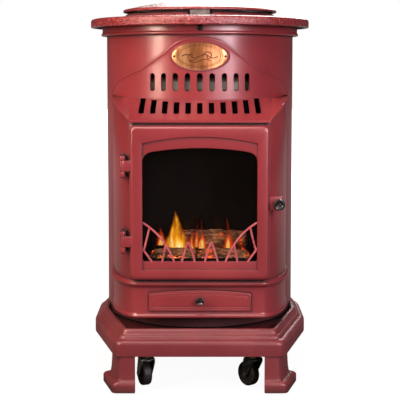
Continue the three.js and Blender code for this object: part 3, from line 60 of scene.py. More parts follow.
# camera, lights and floor
view = {"distance": 2230, "height": 648, "tilt": 4.85, "lens": 90.9, "shiftX": 0.0005, "shiftY": -0.1275}
lamps = {
    "leftBox": {"at": (-1.12, -0.98, 1.2), "size": (0.22, 1.4), "watts": 36, "colour": "ffddc8"},
    "frontBox": {"at": (1.3, -1.9, 1.2), "size": (0.4, 1.2), "watts": 42, "colour": "ffe6ee"},
    "lowBox": {"at": (1.0, -2.7, 1.0), "size": (0.7, 0.8), "watts": 16, "colour": "ffe6ee"},
    "topBox": {"at": (-0.2, -0.78, 1.5), "size": (0.9, 0.4), "watts": 10, "colour": "fff2ec"},
    "rearBox": {"at": (0.5, 2.3, 1.9), "size": (1.5, 1.1), "watts": 60, "colour": "fff6f2"},
}
studio = {"aim": (0, 0, 0.55), "fill": 0.07, "mirrorFrom": 0.97, "mirrorShare": 0.5}
ground = {"matte": "5c5c5c", "glow": 2.12, "nearShare": 0.45, "mirrorFrom": 0.35, "mirrorShare": 0.15}


def linear(code):
    # sRGB hex code to linear colour
    rgb = np.array([int(code[i:i + 2], 16) for i in (0, 2, 4)]) / 255
    rgb = np.where(rgb <= 0.04045, rgb / 12.92, ((rgb + 0.055) / 1.055) ** 2.4)
    return (*rgb.tolist(), 1.0)


def addNode(tree, kind, settings=None, values=None, links=None):
    # one shader node with its settings, socket values and incoming links
    node = tree.nodes.new("ShaderNode" + kind)
    for key, value in (settings or {}).items():
        setattr(node, key, value)
    for key, value in (values or {}).items():
        node.inputs[key].default_value = value
    for key, source in (links or {}).items():
        tree.links.new(source, node.inputs[key])
    return node


def span(tree, source, low, high, fromLow=0.0, fromHigh=1.0):
    # a number carried from one range to another
    node = addNode(tree, "MapRange", None, {1: fromLow, 2: fromHigh, 3: low, 4: high}, {0: source})
    return node.outputs[0]


def makeCamera():
    data = bpy.data.cameras.new("camera")
    data.lens, data.shift_x, data.shift_y = view["lens"], view["shiftX"], view["shiftY"]
    camera = bpy.data.objects.new("camera", data)
    camera.location = (0, (axisY - view["distance"]) / 1000, view["height"] / 1000)
    camera.rotation_euler = (math.radians(90 - view["tilt"]), 0, 0)
    bpy.context.scene.collection.objects.link(camera)
    bpy.context.scene.camera = camera


def makeLamps():
    for name, lamp in lamps.items():
        data = bpy.data.lights.new(name, "AREA")
        data.shape, data.size, data.size_y = "RECTANGLE", *lamp["size"]
        data.energy, data.color = lamp["watts"], linear(lamp["colour"])[:3]
        light = bpy.data.objects.new(name, data)
        light.location = lamp["at"]
        aim = np.array(studio["aim"]) - lamp["at"]
        tip, turn = math.acos(-aim[2] / np.linalg.norm(aim)), math.atan2(aim[1], aim[0]) - math.pi / 2
        light.rotation_euler = (tip, 0, turn)
        light.visible_camera = False
        bpy.context.scene.collection.objects.link(light)


def makeWorld():
    # grey studio fill; white for the camera, and for what metal and glass mirror from behind the object
    world = bpy.data.worlds.new("studio")
    bpy.context.scene.world = world
    world.use_nodes = True
    tree = world.node_tree
    tree.nodes.clear()
    paths = addNode(tree, "LightPath")
    direction = addNode(tree, "SeparateXYZ", links={0: addNode(tree, "TexCoord").outputs["Generated"]})
    behind = addNode(tree, "Math", {"operation": "GREATER_THAN"}, {1: studio["mirrorFrom"]},
                     {0: direction.outputs["Y"]})
    mirrored = addNode(tree, "Math", {"operation": "ADD"},
                       links={0: paths.outputs["Is Glossy Ray"], 1: paths.outputs["Is Transmission Ray"]})
    seen = addNode(tree, "Math", {"operation": "MULTIPLY"}, links={0: mirrored.outputs[0], 1: behind.outputs[0]})
    dimmed = addNode(tree, "Math", {"operation": "MULTIPLY"}, {1: studio["mirrorShare"]}, {0: seen.outputs[0]})
    white = addNode(tree, "Math", {"operation": "ADD", "use_clamp": True},
                    links={0: paths.outputs["Is Camera Ray"], 1: dimmed.outputs[0]})
    fill = addNode(tree, "Background", values={0: linear("f2f0ee"), 1: studio["fill"]})
    plain = addNode(tree, "Background", values={0: (1, 1, 1, 1), 1: 1.0})
    mix = addNode(tree, "MixShader", links={0: white.outputs[0], 1: fill.outputs[0], 2: plain.outputs[0]})
    addNode(tree, "OutputWorld", links={0: mix.outputs[0]})


def makeFloor():
    # pale floor: its own glow keeps it white to the camera, and the rest of its shade shows the shadow
    mesh = bpy.data.meshes.new("floor")
    mesh.from_pydata([(-8, -6, 0), (8, -6, 0), (8, 12, 0), (-8, 12, 0)], [], [(0, 1, 2, 3)])
    floor = bpy.data.objects.new("floor", mesh)
    bpy.context.scene.collection.objects.link(floor)
    material = bpy.data.materials.new("palePaperFloor")
    material.use_nodes = True
    tree = material.node_tree
    tree.nodes.clear()
    paths = addNode(tree, "LightPath")
    spot = addNode(tree, "SeparateXYZ", links={0: addNode(tree, "TexCoord").outputs["Object"]})
    behind = addNode(tree, "Math", {"operation": "GREATER_THAN"}, {1: ground["mirrorFrom"]}, {0: spot.outputs["Y"]})
    weight = addNode(tree, "Math", {"operation": "MULTIPLY"}, {1: ground["mirrorShare"]}, {0: behind.outputs[0]})
    mirrored = addNode(tree, "Math", {"operation": "MULTIPLY"},
                       links={0: paths.outputs["Is Glossy Ray"], 1: weight.outputs[0]})
    direct = addNode(tree, "Math", {"operation": "ADD"},
                     links={0: paths.outputs["Is Camera Ray"], 1: mirrored.outputs[0]})
    shown = addNode(tree, "Math", {"operation": "ADD", "use_clamp": True},
                    links={0: direct.outputs[0], 1: paths.outputs["Is Transmission Ray"]})
    far = span(tree, spot.outputs["Y"], ground["nearShare"], 1.0, 0.6, 3.0)  # the lamps fade out behind the heater
    share = addNode(tree, "Math", {"operation": "MULTIPLY"}, links={0: shown.outputs[0], 1: far})
    matte = addNode(tree, "BsdfDiffuse", values={0: linear(ground["matte"])})
    glow = addNode(tree, "Emission", values={0: (1, 1, 1, 1), 1: ground["glow"]})
    mix = addNode(tree, "MixShader", links={0: share.outputs[0], 1: matte.outputs[0], 2: glow.outputs[0]})
    addNode(tree, "OutputMaterial", links={0: mix.outputs[0]})
    mesh.materials.append(material)


bpy.context.scene.view_settings.view_transform = "Standard"
makeCamera()
makeLamps()
makeWorld()
makeFloor()
print("studio ready")


# materials
def newMaterial(name, base, roughness, metallic=0.0, **sockets):
    # a named Principled material with object coordinates ready for its patterns
    material = bpy.data.materials.new(name)
    material.use_nodes = True
    tree = material.node_tree
    shader = tree.nodes["Principled BSDF"]
    shader.inputs["Base Color"].default_value = linear(base)
    shader.inputs["Roughness"].default_value = roughness
    shader.inputs["Metallic"].default_value = metallic
    for key, value in sockets.items():
        shader.inputs[key.replace("_", " ")].default_value = value
    coords = addNode(tree, "TexCoord").outputs["Object"]
    return material, tree, shader, coords


def noise(tree, coords, grainMm, detail=3.0, rough=0.55):
    # noise whose features are about grainMm across
    return addNode(tree, "TexNoise", None, {"Scale": 1000 / grainMm, "Detail": detail, "Roughness": rough},
                   {"Vector": coords})


def ramp(tree, source, stops):
    # colour ramp from (place, hex colour) pairs
    node = addNode(tree, "ValToRGB", links={0: source})
    while len(node.color_ramp.elements) < len(stops):
        node.color_ramp.elements.new(0.5)
    for element, (place, code) in zip(node.color_ramp.elements, stops):
        element.position, element.color = place, linear(code)
    return node.outputs[0]


def bump(tree, shader, height, depthMm, strength=1.0, under=None):
    node = addNode(tree, "Bump", None, {"Strength": strength, "Distance": depthMm / 1000}, {"Height": height})
    if under:
        tree.links.new(under, node.inputs["Normal"])
    tree.links.new(node.outputs[0], shader.inputs["Normal"])
    return node.outputs[0]


def coatWithPaintedShade(tree, shader, colour, roughness, shadeReachMm=12, darkestShade=0.06, footShadeMm=0):
    # the film's colour and gloss; in joints, corners and creases the colour is darkened with painted shade from
    # ambient occlusion, and the gloss is dulled there too
    paintedCreaseShade = addNode(tree, "AmbientOcclusion", {"samples": 6}, {"Distance": shadeReachMm / 1000})
    if footShadeMm:  # near the floor the painted shade reaches further
        height = addNode(tree, "SeparateXYZ", links={0: addNode(tree, "TexCoord").outputs["Object"]})
        reach = span(tree, height.outputs["Z"], footShadeMm / 1000, shadeReachMm / 1000, 0.16, 0.3)
        tree.links.new(reach, paintedCreaseShade.inputs["Distance"])
    # painted shade: the more occluded a spot, the darker its colour is drawn
    share = span(tree, paintedCreaseShade.outputs["AO"], darkestShade, 1.0, 0.45, 0.9)
    grey = addNode(tree, "CombineColor", links={0: share, 1: share, 2: share})
    tint = addNode(tree, "Mix", {"data_type": "RGBA", "blend_type": "MULTIPLY"}, {0: 1.0},
                   {6: colour, 7: grey.outputs[0]})
    tree.links.new(tint.outputs[2], shader.inputs["Base Color"])
    dull = addNode(tree, "Mix", {"data_type": "FLOAT"}, {2: 0.9}, {0: share, 3: roughness})
    tree.links.new(dull.outputs[0], shader.inputs["Roughness"])


def mottled(name, base, roughness, metallic, grainMm, detail, stops, gloss=None, bumpMm=0, **sockets):
    # a finish whose colour, gloss and bumps drift together over one noise
    material, tree, shader, coords = newMaterial(name, base, roughness, metallic, **sockets)
    drift = noise(tree, coords, grainMm, detail)
    tree.links.new(ramp(tree, drift.outputs[0], stops), shader.inputs["Base Color"])
    if gloss:
        tree.links.new(span(tree, drift.outputs[0], *gloss), shader.inputs["Roughness"])
    if bumpMm:
        bump(tree, shader, drift.outputs[0], bumpMm, 0.3)
    return material


def powderCoat(name, shadeReachMm, darkestShade, footShadeMm=0):
    # satin polyester powder coat on sheet steel, baked: even burgundy, soft wide highlights, faint orange peel
    material, tree, shader, coords = newMaterial(name, "8a2c31", 0.33, 0.0, Specular_IOR_Level=0.8)
    drift = noise(tree, coords, 160, 2)  # film thickness drifts over a hand's breadth
    colour = ramp(tree, drift.outputs[0], [(0.3, "76272c"), (0.5, "7e2c31"), (0.72, "883436")])
    peel = noise(tree, coords, 3.2, 3)  # orange peel, drawn at 3 mm so that it shows
    # joints and creases of this coat are drawn darker: painted shade
    coatWithPaintedShade(tree, shader, colour, span(tree, peel.outputs[0], 0.25, 0.37), shadeReachMm, darkestShade, footShadeMm)
    bump(tree, shader, peel.outputs[0], 0.12, 0.35)
    return material


def castCoat():
    # the same coat on sand-cast iron, drawn darker as painted shade for the low base and legs: the mould's grain
    # shows through and breaks highlights into sparkles
    material, tree, shader, coords = newMaterial("burgundyCastCoat", "8a2c31", 0.4, 0.0, Specular_IOR_Level=0.62)
    drift = noise(tree, coords, 120, 2)
    colour = ramp(tree, drift.outputs[0], [(0.3, "65262b"), (0.5, "6d2b2f"), (0.72, "783335")])
    sand = noise(tree, coords, 4.5, 5, 0.7)  # grain of the moulding sand, drawn at 4.5 mm so that it shows
    # painted shade reaching 30 mm: the base's recesses and the legs' toes are drawn darker
    coatWithPaintedShade(tree, shader, colour, span(tree, sand.outputs[0], 0.3, 0.5), 30, 0.12)
    bump(tree, shader, sand.outputs[0], 0.5, 0.4)
    return material


def rimCoat():
    # the top's cast texture is coarser than the base's; the palest stop of its colour paints sparkle highlights, and
    # its creases get painted shade
    material, tree, shader, coords = newMaterial("burgundyRimCoat", "8a2c31", 0.22, 0.0, Specular_IOR_Level=0.75)
    sand = noise(tree, coords, 5.0, 4, 0.7)
    pits = addNode(tree, "TexVoronoi", None, {"Scale": 1000 / 4.0}, {"Vector": coords})
    # the pale pink stop: painted sparkle highlights
    colour = ramp(tree, sand.outputs[0], [(0.3, "5c1a20"), (0.5, "74262b"), (0.62, "963f3b"), (0.74, "dc9684")])
    coatWithPaintedShade(tree, shader, colour, span(tree, sand.outputs[0], 0.3, 0.14))
    rough = bump(tree, shader, sand.outputs[0], 1.6, 0.8)
    bump(tree, shader, pits.outputs["Distance"], 1.0, 0.6, rough)
    return material


def copperPlate():
    # brushed copper-toned plate under lacquer: warm metal with upright light and dark bands of painted reflection
    material, tree, shader, coords = newMaterial("brushedCopper", "d29a64", 0.3, 0.7)
    stretch = addNode(tree, "Mapping", None, {"Scale": (1, 1, 0.15)}, {"Vector": coords})
    paintedReflectionBands = noise(tree, stretch.outputs[0], 26, 3, 0.6)  # painted reflection: upright light and dark bands across the plate
    colour = ramp(tree, paintedReflectionBands.outputs[0], [(0.34, "7c4b2a"), (0.48, "a66d40"), (0.58, "c89263"), (0.68, "e6bd88")])
    tree.links.new(colour, shader.inputs["Base Color"])
    lines = noise(tree, stretch.outputs[0], 1.6, 2)  # brushing, drawn at 1.6 mm so that it shows
    tree.links.new(span(tree, lines.outputs[0], 0.24, 0.42), shader.inputs["Roughness"])
    bump(tree, shader, lines.outputs[0], 0.05, 0.4)
    return material


def stovePaint():
    # heat-proof stove paint on sheet steel: flat soft black, a little greyer where dust and soot lie
    material, tree, shader, coords = newMaterial("blackStovePaint", "17140f", 0.72, 0.0, Specular_IOR_Level=0.12)
    soot = noise(tree, coords, 55, 5)
    tree.links.new(ramp(tree, soot.outputs[0], [(0.3, "070605"), (0.6, "0d0b09"), (0.85, "17130f")]),
                   shader.inputs["Base Color"])
    tree.links.new(span(tree, soot.outputs[0], 0.6, 0.85), shader.inputs["Roughness"])
    bump(tree, shader, noise(tree, coords, 2.5, 2).outputs[0], 0.1, 0.3)
    return material


def aluminisedSteel():
    # hot-dip aluminised sheet: dull grey-green spangle
    material, tree, shader, coords = newMaterial("aluminisedSteel", "b4b8aa", 0.42, 1.0)
    spangle = addNode(tree, "TexVoronoi", None, {"Scale": 1000 / 7.0}, {"Vector": coords})  # 7 mm crystals
    tree.links.new(ramp(tree, spangle.outputs["Color"], [(0.2, "989e90"), (0.8, "ccd0c2")]),
                   shader.inputs["Base Color"])
    tree.links.new(span(tree, spangle.outputs["Color"], 0.34, 0.52), shader.inputs["Roughness"])
    return material


def sootedSteel():
    # the heat shield: aluminised sheet, drawn black as painted shade but for a paler belt of painted light where
    # light falls on it through the slots
    material, tree, shader, coords = newMaterial("sootedSteel", "6c7166", 0.5, 0.9)
    height = addNode(tree, "SeparateXYZ", links={0: coords})
    paintedLitBelt = addNode(tree, "Math", {"operation": "SUBTRACT"}, {1: 0.602}, {0: height.outputs["Z"]})
    away = addNode(tree, "Math", {"operation": "ABSOLUTE"}, links={0: paintedLitBelt.outputs[0]})
    blotch = noise(tree, coords, 18, 4)
    edge = addNode(tree, "Math", {"operation": "MULTIPLY_ADD"}, {1: 0.012},
                   {0: blotch.outputs[0], 2: away.outputs[0]})
    # painted light inside the belt, painted shade outside it, with a random ragged edge
    share = span(tree, edge.outputs[0], 1.0, 0.0, 0.012, 0.024)
    tree.links.new(ramp(tree, share, [(0.0, "0e0e0d"), (0.6, "5a6056"), (1.0, "a4ab9c")]),
                   shader.inputs["Base Color"])
    tree.links.new(span(tree, blotch.outputs[0], 0.4, 0.6), shader.inputs["Roughness"])
    return material


def stoveGlass():
    # ceramic stove glass: clear with a smoky tint, a trace of soot in drifting patches
    material, tree, shader, coords = newMaterial("stoveGlass", "14100d", 0.06, 0.0, Specular_IOR_Level=0.35)
    haze = noise(tree, coords, 70, 3)
    tree.links.new(span(tree, haze.outputs[0], 0.1, 0.2), shader.inputs["Alpha"])
    return material


def ceramicLog():
    # moulded ceramic fibre, sprayed to look like charred bark: brown ridges, ash-pale crests, black cracks; the bark
    # is drawn paler, partly as painted firelight
    material, tree, shader, coords = newMaterial("charredCeramicLog", "6a4530", 0.92, 0.0)
    grain = addNode(tree, "Mapping", None, {"Scale": (0.35, 1, 1)}, {"Vector": coords})
    bark = noise(tree, grain.outputs[0], 7, 6, 0.65)  # ridges run along the log
    colour = ramp(tree, bark.outputs[0], [(0.3, "1a100a"), (0.45, "5a3820"), (0.6, "9a6a42"), (0.78, "c8a67c")])
    tree.links.new(colour, shader.inputs["Base Color"])
    bump(tree, shader, bark.outputs[0], 2.2, 0.9)
    # glow in patches: partly the ceramic's own hot spots, partly painted firelight from the flames
    glow = addNode(tree, "TexNoise", None, {"Scale": 1000 / 26, "Detail": 2.0}, {"Vector": coords})
    hotSpotsAndFirelight = span(tree, glow.outputs[0], 0.0, 2.2, 0.6, 0.8)
    tree.links.new(ramp(tree, bark.outputs[0], [(0.36, "ff5a10"), (0.5, "300800")]), shader.inputs["Emission Color"])
    tree.links.new(hotSpotsAndFirelight, shader.inputs["Emission Strength"])
    return material


def emberBed():
    # glowing ceramic coals: orange cores, grey ash crests
    material, tree, shader, coords = newMaterial("glowingEmbers", "3a2018", 0.95, 0.0)
    ash = noise(tree, coords, 9, 4)
    tree.links.new(ramp(tree, ash.outputs[0], [(0.35, "1a0d08"), (0.7, "8d7a68")]), shader.inputs["Base Color"])
    heat = noise(tree, coords, 22, 3)
    tree.links.new(ramp(tree, ash.outputs[0], [(0.3, "ffb040"), (0.45, "ff4a08"), (0.62, "200400")]),
                   shader.inputs["Emission Color"])
    tree.links.new(span(tree, heat.outputs[0], 0.0, 3.4, 0.5, 0.72), shader.inputs["Emission Strength"])
    bump(tree, shader, ash.outputs[0], 1.5, 0.8)
    return material


def flameGas(name, colours, strength, body):
    # burning gas: light with no surface, hottest low in the middle and torn into wisps towards its edge and tip
    material, tree, shader, coords = newMaterial(name, "000000", 1.0, 0.0, Specular_IOR_Level=0.0)
    where = addNode(tree, "SeparateXYZ", links={0: addNode(tree, "UVMap", {"uv_map": "UVMap"}).outputs[0]})
    wisps = addNode(tree, "Mapping", None, {"Scale": (1, 1, 0.4)}, {"Vector": coords})
    torn = noise(tree, wisps.outputs[0], 14, 3, 0.5)
    offset = addNode(tree, "Math", {"operation": "SUBTRACT"}, {1: 0.5}, {0: where.outputs["X"]})
    side = addNode(tree, "Math", {"operation": "ABSOLUTE"}, links={0: offset.outputs[0]})
    across = addNode(tree, "Math", {"operation": "MULTIPLY_ADD"}, {1: -1.6, 2: 0.62}, {0: side.outputs[0]})
    upwards = addNode(tree, "Math", {"operation": "MULTIPLY_ADD"}, {1: -0.9},
                      {0: where.outputs["Y"], 2: across.outputs[0]})
    heat = addNode(tree, "Math", {"operation": "MULTIPLY_ADD"}, {1: 1.2}, {0: torn.outputs[0], 2: upwards.outputs[0]})
    colour = ramp(tree, heat.outputs[0], list(zip((0.35, 0.55, 0.75, 0.92, 1.0), colours)))
    tree.links.new(colour, shader.inputs["Emission Color"])
    shader.inputs["Emission Strength"].default_value = strength
    tree.links.new(span(tree, heat.outputs[0], 0.0, body, 0.25, 0.95), shader.inputs["Alpha"])
    return material


finish = {
    # the drum's coat carries painted shade that reaches far up from the floor, darkening the drum low down between
    # the casing and the base
    "sheet": powderCoat("burgundyPowderCoat", 12, 0.06), "drum": powderCoat("burgundyDrumCoat", 5, 0.3, 90),
    "skin": powderCoat("burgundyFasciaCoat", 4, 0.45), "cast": castCoat(), "rim": rimCoat(),
    # thin bars beside the glass: drawn paler than the door's coat, partly bleached by the heat and partly a painted
    # highlight for the light their round edges catch; the brush of hands has glossed it
    "fret": mottled("burgundyFretCoat", "a2474c", 0.28, 0.0, 30, 3, [(0.3, "9c4650"), (0.7, "bb6468")], (0.22, 0.36),
                    Specular_IOR_Level=0.9),
    "sooted": sootedSteel(), "copper": copperPlate(), "black": stovePaint(), "steel": aluminisedSteel(),
    # plain steel tab, oiled and browned by heat
    "dull": mottled("dullSteel", "6e6967", 0.5, 0.9, 12, 4, [(0.3, "57524f"), (0.7, "86807c")], (0.42, 0.6)),
    # oxidised copper in the engraved lines: dark and matte
    "engraved": mottled("oxidisedCopper", "5b3320", 0.6, 0.7, 4, 3, [(0.35, "42241a"), (0.7, "74472c")]),
    # moulded phenolic: near black, glossy, with faint flow marks
    "plastic": mottled("blackPhenolic", "111112", 0.22, 0.0, 9, 3, [(0.3, "0d0d0e"), (0.7, "1a1a1b")], (0.16, 0.32),
                       0.05, Coat_Weight=0.3),
    # bright zinc plating on turned and pressed steel: cool grey with a faint yellow passivation
    "zinc": mottled("zincPlate", "a2a69c", 0.3, 1.0, 8, 3, [(0.35, "565c57"), (0.7, "8f9284")], (0.22, 0.42)),
    # machined brass: fine turning marks and slight tarnish
    "brass": mottled("turnedBrass", "c9a65a", 0.3, 1.0, 3, 4, [(0.3, "a98540"), (0.7, "d8b96e")], (0.24, 0.4)),
    # moulded black rubber tread: soft sheen, dusty
    "tyre": mottled("blackTyreRubber", "151615", 0.55, 0.0, 6, 4, [(0.3, "0f100f"), (0.75, "262725")], (0.42, 0.68),
                    0.15),
    "glass": stoveGlass(), "log": ceramicLog(), "ember": emberBed(),
    "yellowFlame": flameGas("yellowFlameGas", ("a33c04", "e07c0c", "f8a81c", "ffdc60", "fffbe0"), 1.5, 0.95),
    "redFlame": flameGas("redFlameGas", ("5a0c04", "a82408", "dc481c", "f88030", "ffc060"), 1.2, 0.85),
    # two broad faint sheets behind the flames: painted glow of firelight in the firebox, drawn with the flames' gas
    # material
    "fireGlow": flameGas("fireGlow", ("180a02", "2a1406", "3c1c08", "4a240a", "58300e"), 0.5, 0.4),
}
slotLooks = {
    "painted_shell": ("sheet", "drum", "skin", "fret"), "painted_casting": ("cast", "rim"),
    "bright_steel": ("steel", "sooted", "dull"), "copper_badge": ("copper", "engraved"),
    "black_plastic": ("plastic",), "black_steel": ("black",), "zinc_steel": ("zinc",), "brass": ("brass",),
    "stove_glass": ("glass",), "ceramic_log": ("log", "ember", "yellowFlame", "redFlame", "fireGlow"),
    "black_tyre": ("tyre",),
}
ownLook = {"heat_shield": "sooted", "lid_rest_tab": "dull", "pilot_burner": "black"}
for part in frame["record"]["subparts"]:
    node = frame["nodes"][part["node"]]
    node.data.materials.clear()
    look = ownLook.get(part["node"], slotLooks[part["material_slot"]][0])
    node.data.materials.append(finish[look])
print("materials ready")


# shapes: each returns (points, faces) in millimetres from the drum's axis
def gridFaces(rows, cols, wrapRows=False, wrapCols=True):
    # four-sided faces between neighbouring points of a rows x cols grid
    i, j = np.meshgrid(np.arange(rows if wrapRows else rows - 1), np.arange(cols if wrapCols else cols - 1),
                       indexing="ij")
    k, m = (i + 1) % rows, (j + 1) % cols
    return np.stack([i * cols + j, i * cols + m, k * cols + m, k * cols + j], -1).reshape(-1, 4).tolist()


def loft(sections, wrap=False):
    # closed sections of equal counts joined in order, with a flat cap at each end unless they wrap round
    sections = np.asarray(sections, float)
    rows, cols = sections.shape[:2]
    faces = gridFaces(rows, cols, wrap)
    if not wrap:
        faces += [list(range(cols)), list(range((rows - 1) * cols, rows * cols))]
    return sections.reshape(-1, 3), faces


def soften(points, radius, steps=4, closed=True):
    # a polyline whose corners become quadratic arcs that start a radius before each corner
    points = np.asarray(points, float)
    back, ahead = np.roll(points, 1, 0) - points, np.roll(points, -1, 0) - points
    lengthBack, lengthAhead = np.linalg.norm(back, axis=1), np.linalg.norm(ahead, axis=1)
    reach = np.minimum(np.broadcast_to(radius, len(points)), 0.48 * np.minimum(lengthBack, lengthAhead))
    if not closed:
        reach = np.where(np.isin(np.arange(len(points)), (0, len(points) - 1)), 0, reach)
    start = points + back * (reach / lengthBack)[:, None]
    end = points + ahead * (reach / lengthAhead)[:, None]
    t = np.linspace(0, 1, steps + 1)[None, :, None]
    arcs = (1 - t) ** 2 * start[:, None] + 2 * t * (1 - t) * points[:, None] + t ** 2 * end[:, None]
    return arcs.reshape(-1, points.shape[1])


def lathe(profile, count=160, closed=True, start=0.0, end=2 * math.pi):
    # (radius, height) pairs turned round the upright axis; angle 0 faces the front
    profile = np.asarray(profile, float)
    whole = abs(end - start - 2 * math.pi) < 1e-6
    angle = np.linspace(start, end, count, endpoint=not whole)[:, None]
    radius, height = profile[None, :, 0], profile[None, :, 1]
    points = np.stack([radius * np.sin(angle), -radius * np.cos(angle), height + 0 * angle], -1)
    faces = gridFaces(count, len(profile), whole, closed)
    if not whole:
        faces += [list(range(len(profile))), list(range((count - 1) * len(profile), count * len(profile)))]
    return points.reshape(-1, 3), faces


def roundBlock(low, high, radius=1.0):
    # a block whose every edge is rounded: rounded rectangles stacked with a quarter-round inset at both ends
    low, high = np.asarray(low, float), np.asarray(high, float)
    radius = min(radius, 0.45 * (high - low).min())
    phase = np.linspace(0, math.pi / 2, 4)
    inset = radius * (1 - np.sin(phase))
    rise = radius * (1 - np.cos(phase))
    insets = np.concatenate([inset, inset[::-1]])
    levels = np.concatenate([low[2] + rise, high[2] - rise[::-1]])
    base = np.array([low[:2], (high[0], low[1]), high[:2], (low[0], high[1])])
    middle = (low[:2] + high[:2]) / 2
    rows = [soften(base + np.sign(middle - base) * d, max(radius * 1.3 - d, 0.02), 3) for d in insets]
    return loft(np.dstack([np.array(rows), np.broadcast_to(levels[:, None], np.array(rows).shape[:2])]))


def rod(axis, radius, start, end, at=(0, 0, 0), edge=0.6, count=40):
    # a cylinder along an axis with softened rims
    profile = soften([(0, start), (radius, start), (radius, end), (0, end)], [0, edge, edge, 0], 3, False)
    points, faces = lathe(profile, count, False)
    turned = {"z": points, "y": points[:, [0, 2, 1]] * (1, 1, -1), "x": points[:, [2, 1, 0]]}[axis]
    return turned + np.asarray(at, float), faces


def tubeAlong(path, halfWidth, halfDepth, count=12, power=0.7):
    # a bar of rounded section carried along a path that lies in an upright plane facing the front
    path = np.asarray(path, float)
    along = np.gradient(path, axis=0)
    along /= np.linalg.norm(along, axis=1)[:, None]
    across = np.stack([-along[:, 2], 0 * along[:, 0], along[:, 0]], -1)
    angle = np.linspace(0, 2 * math.pi, count, endpoint=False)
    c = np.sign(np.cos(angle)) * np.abs(np.cos(angle)) ** power
    s = np.sign(np.sin(angle)) * np.abs(np.sin(angle)) ** power
    sideways = c[None, :, None] * halfWidth * across[:, None]
    return loft(path[:, None] + sideways + s[None, :, None] * halfDepth * np.array((0.0, 1.0, 0.0)))


def bend(a, b, c, count):
    # quadratic curve from a to c that heads for b, its last point left out
    t = np.linspace(0, 1, count, endpoint=False)[:, None]
    a, b, c = (np.asarray(p, float) for p in (a, b, c))
    return (1 - t) ** 2 * a + 2 * t * (1 - t) * b + t ** 2 * c


def straight(a, b, count):
    # straight run from a to b, its last point left out
    return bend(a, (np.array(a) + b) / 2, b, count)


def upright(outline, y):
    # an outline in x and z stood up at y
    outline = np.asarray(outline, float)
    return np.stack([outline[:, 0], np.full(len(outline), y), outline[:, 1]], -1)


def levelAt(outline, z):
    # an outline in x and y laid at height z
    return np.concatenate([outline, np.full((len(outline), 1), z)], 1)


def facing(shape):
    # a turned shape tipped over so that its upper end points to the front
    points, faces = shape
    return points[:, [0, 2, 1]] * (1, -1, 1), faces


def turnZ(shape, degrees):
    points, faces = shape
    c, s = math.cos(math.radians(degrees)), math.sin(math.radians(degrees))
    return points @ np.array([[c, s, 0], [-s, c, 0], [0, 0, 1]]), faces


def shift(shape, x, y, z):
    return shape[0] + np.array((x, y, z)), shape[1]


def scaled(shape, x, y, z):
    return shape[0] * np.array((x, y, z)), shape[1]


def meshObject(name, shapes):
    # joins shapes into one mesh object in metres, in the row frame, with faces outwards
    points, faces, count = [], [], 0
    for shape in shapes:
        points.append(shape[0])
        faces += [[index + count for index in face] for face in shape[1]]
        count += len(shape[0])
    mesh = bpy.data.meshes.new(name)
    mesh.from_pydata(((np.concatenate(points) + (0, axisY, 0)) / 1000).tolist(), [], faces)
    tidyMesh(mesh)
    piece = bpy.data.objects.new(name, mesh)
    bpy.context.scene.collection.objects.link(piece)
    return piece


def tidyMesh(mesh):
    work = bmesh.new()
    work.from_mesh(mesh)
    bmesh.ops.remove_doubles(work, verts=work.verts, dist=2e-6)
    bmesh.ops.dissolve_degenerate(work, edges=work.edges, dist=1e-6)
    bmesh.ops.recalc_face_normals(work, faces=work.faces)
    work.to_mesh(mesh)
    work.free()


def applyModifiers(piece):
    ready = piece.evaluated_get(bpy.context.evaluated_depsgraph_get())
    mesh = bpy.data.meshes.new_from_object(ready)
    piece.modifiers.clear()
    piece.data = mesh


def combine(piece, shapes, operation="DIFFERENCE"):
    # cuts shapes out of a piece or joins them to it
    tool = meshObject("tool", shapes)
    modifier = piece.modifiers.new("tool", "BOOLEAN")
    modifier.operation, modifier.solver, modifier.object = operation, "EXACT", tool
    modifier.use_self = True
    applyModifiers(piece)
    bpy.data.objects.remove(tool)


def softEdges(piece, width, angle=40, segments=2):
    modifier = piece.modifiers.new("edges", "BEVEL")
    modifier.width, modifier.segments, modifier.limit_method = width / 1000, segments, "ANGLE"
    modifier.angle_limit = math.radians(angle)
    applyModifiers(piece)


def joined(words):
    # front_left becomes FrontLeft
    return words.title().replace("_", "")


def place(piece, look, body, *nodes, crease=32):
    # gives a finished piece its material, smooth shading, body and the CAD nodes it stands for
    piece.data.materials.clear()
    piece.data.materials.append(finish[look])
    piece.data.shade_smooth()
    piece.data.set_sharp_from_angle(angle=math.radians(crease))
    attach(piece, body)
    if nodes:
        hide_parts(*nodes)
    return piece


# drum, collar and top
drumLow, drumHigh = boxOf("drum_shell")
drum = {"radius": drumHigh[0], "wall": 2, "rearOpeningAngle": 52, "fireHalfWidth": 150, "slotHalfWidth": 108,
        "hoodRise": 44, "slotRise": 57, "fireLap": 8, "rearLap": 9, "columns": 181, "rows": 40}
front = {"casing": boxOf("lower_casing"), "surround": boxOf("door_surround"), "fascia": boxOf("upper_fascia")}


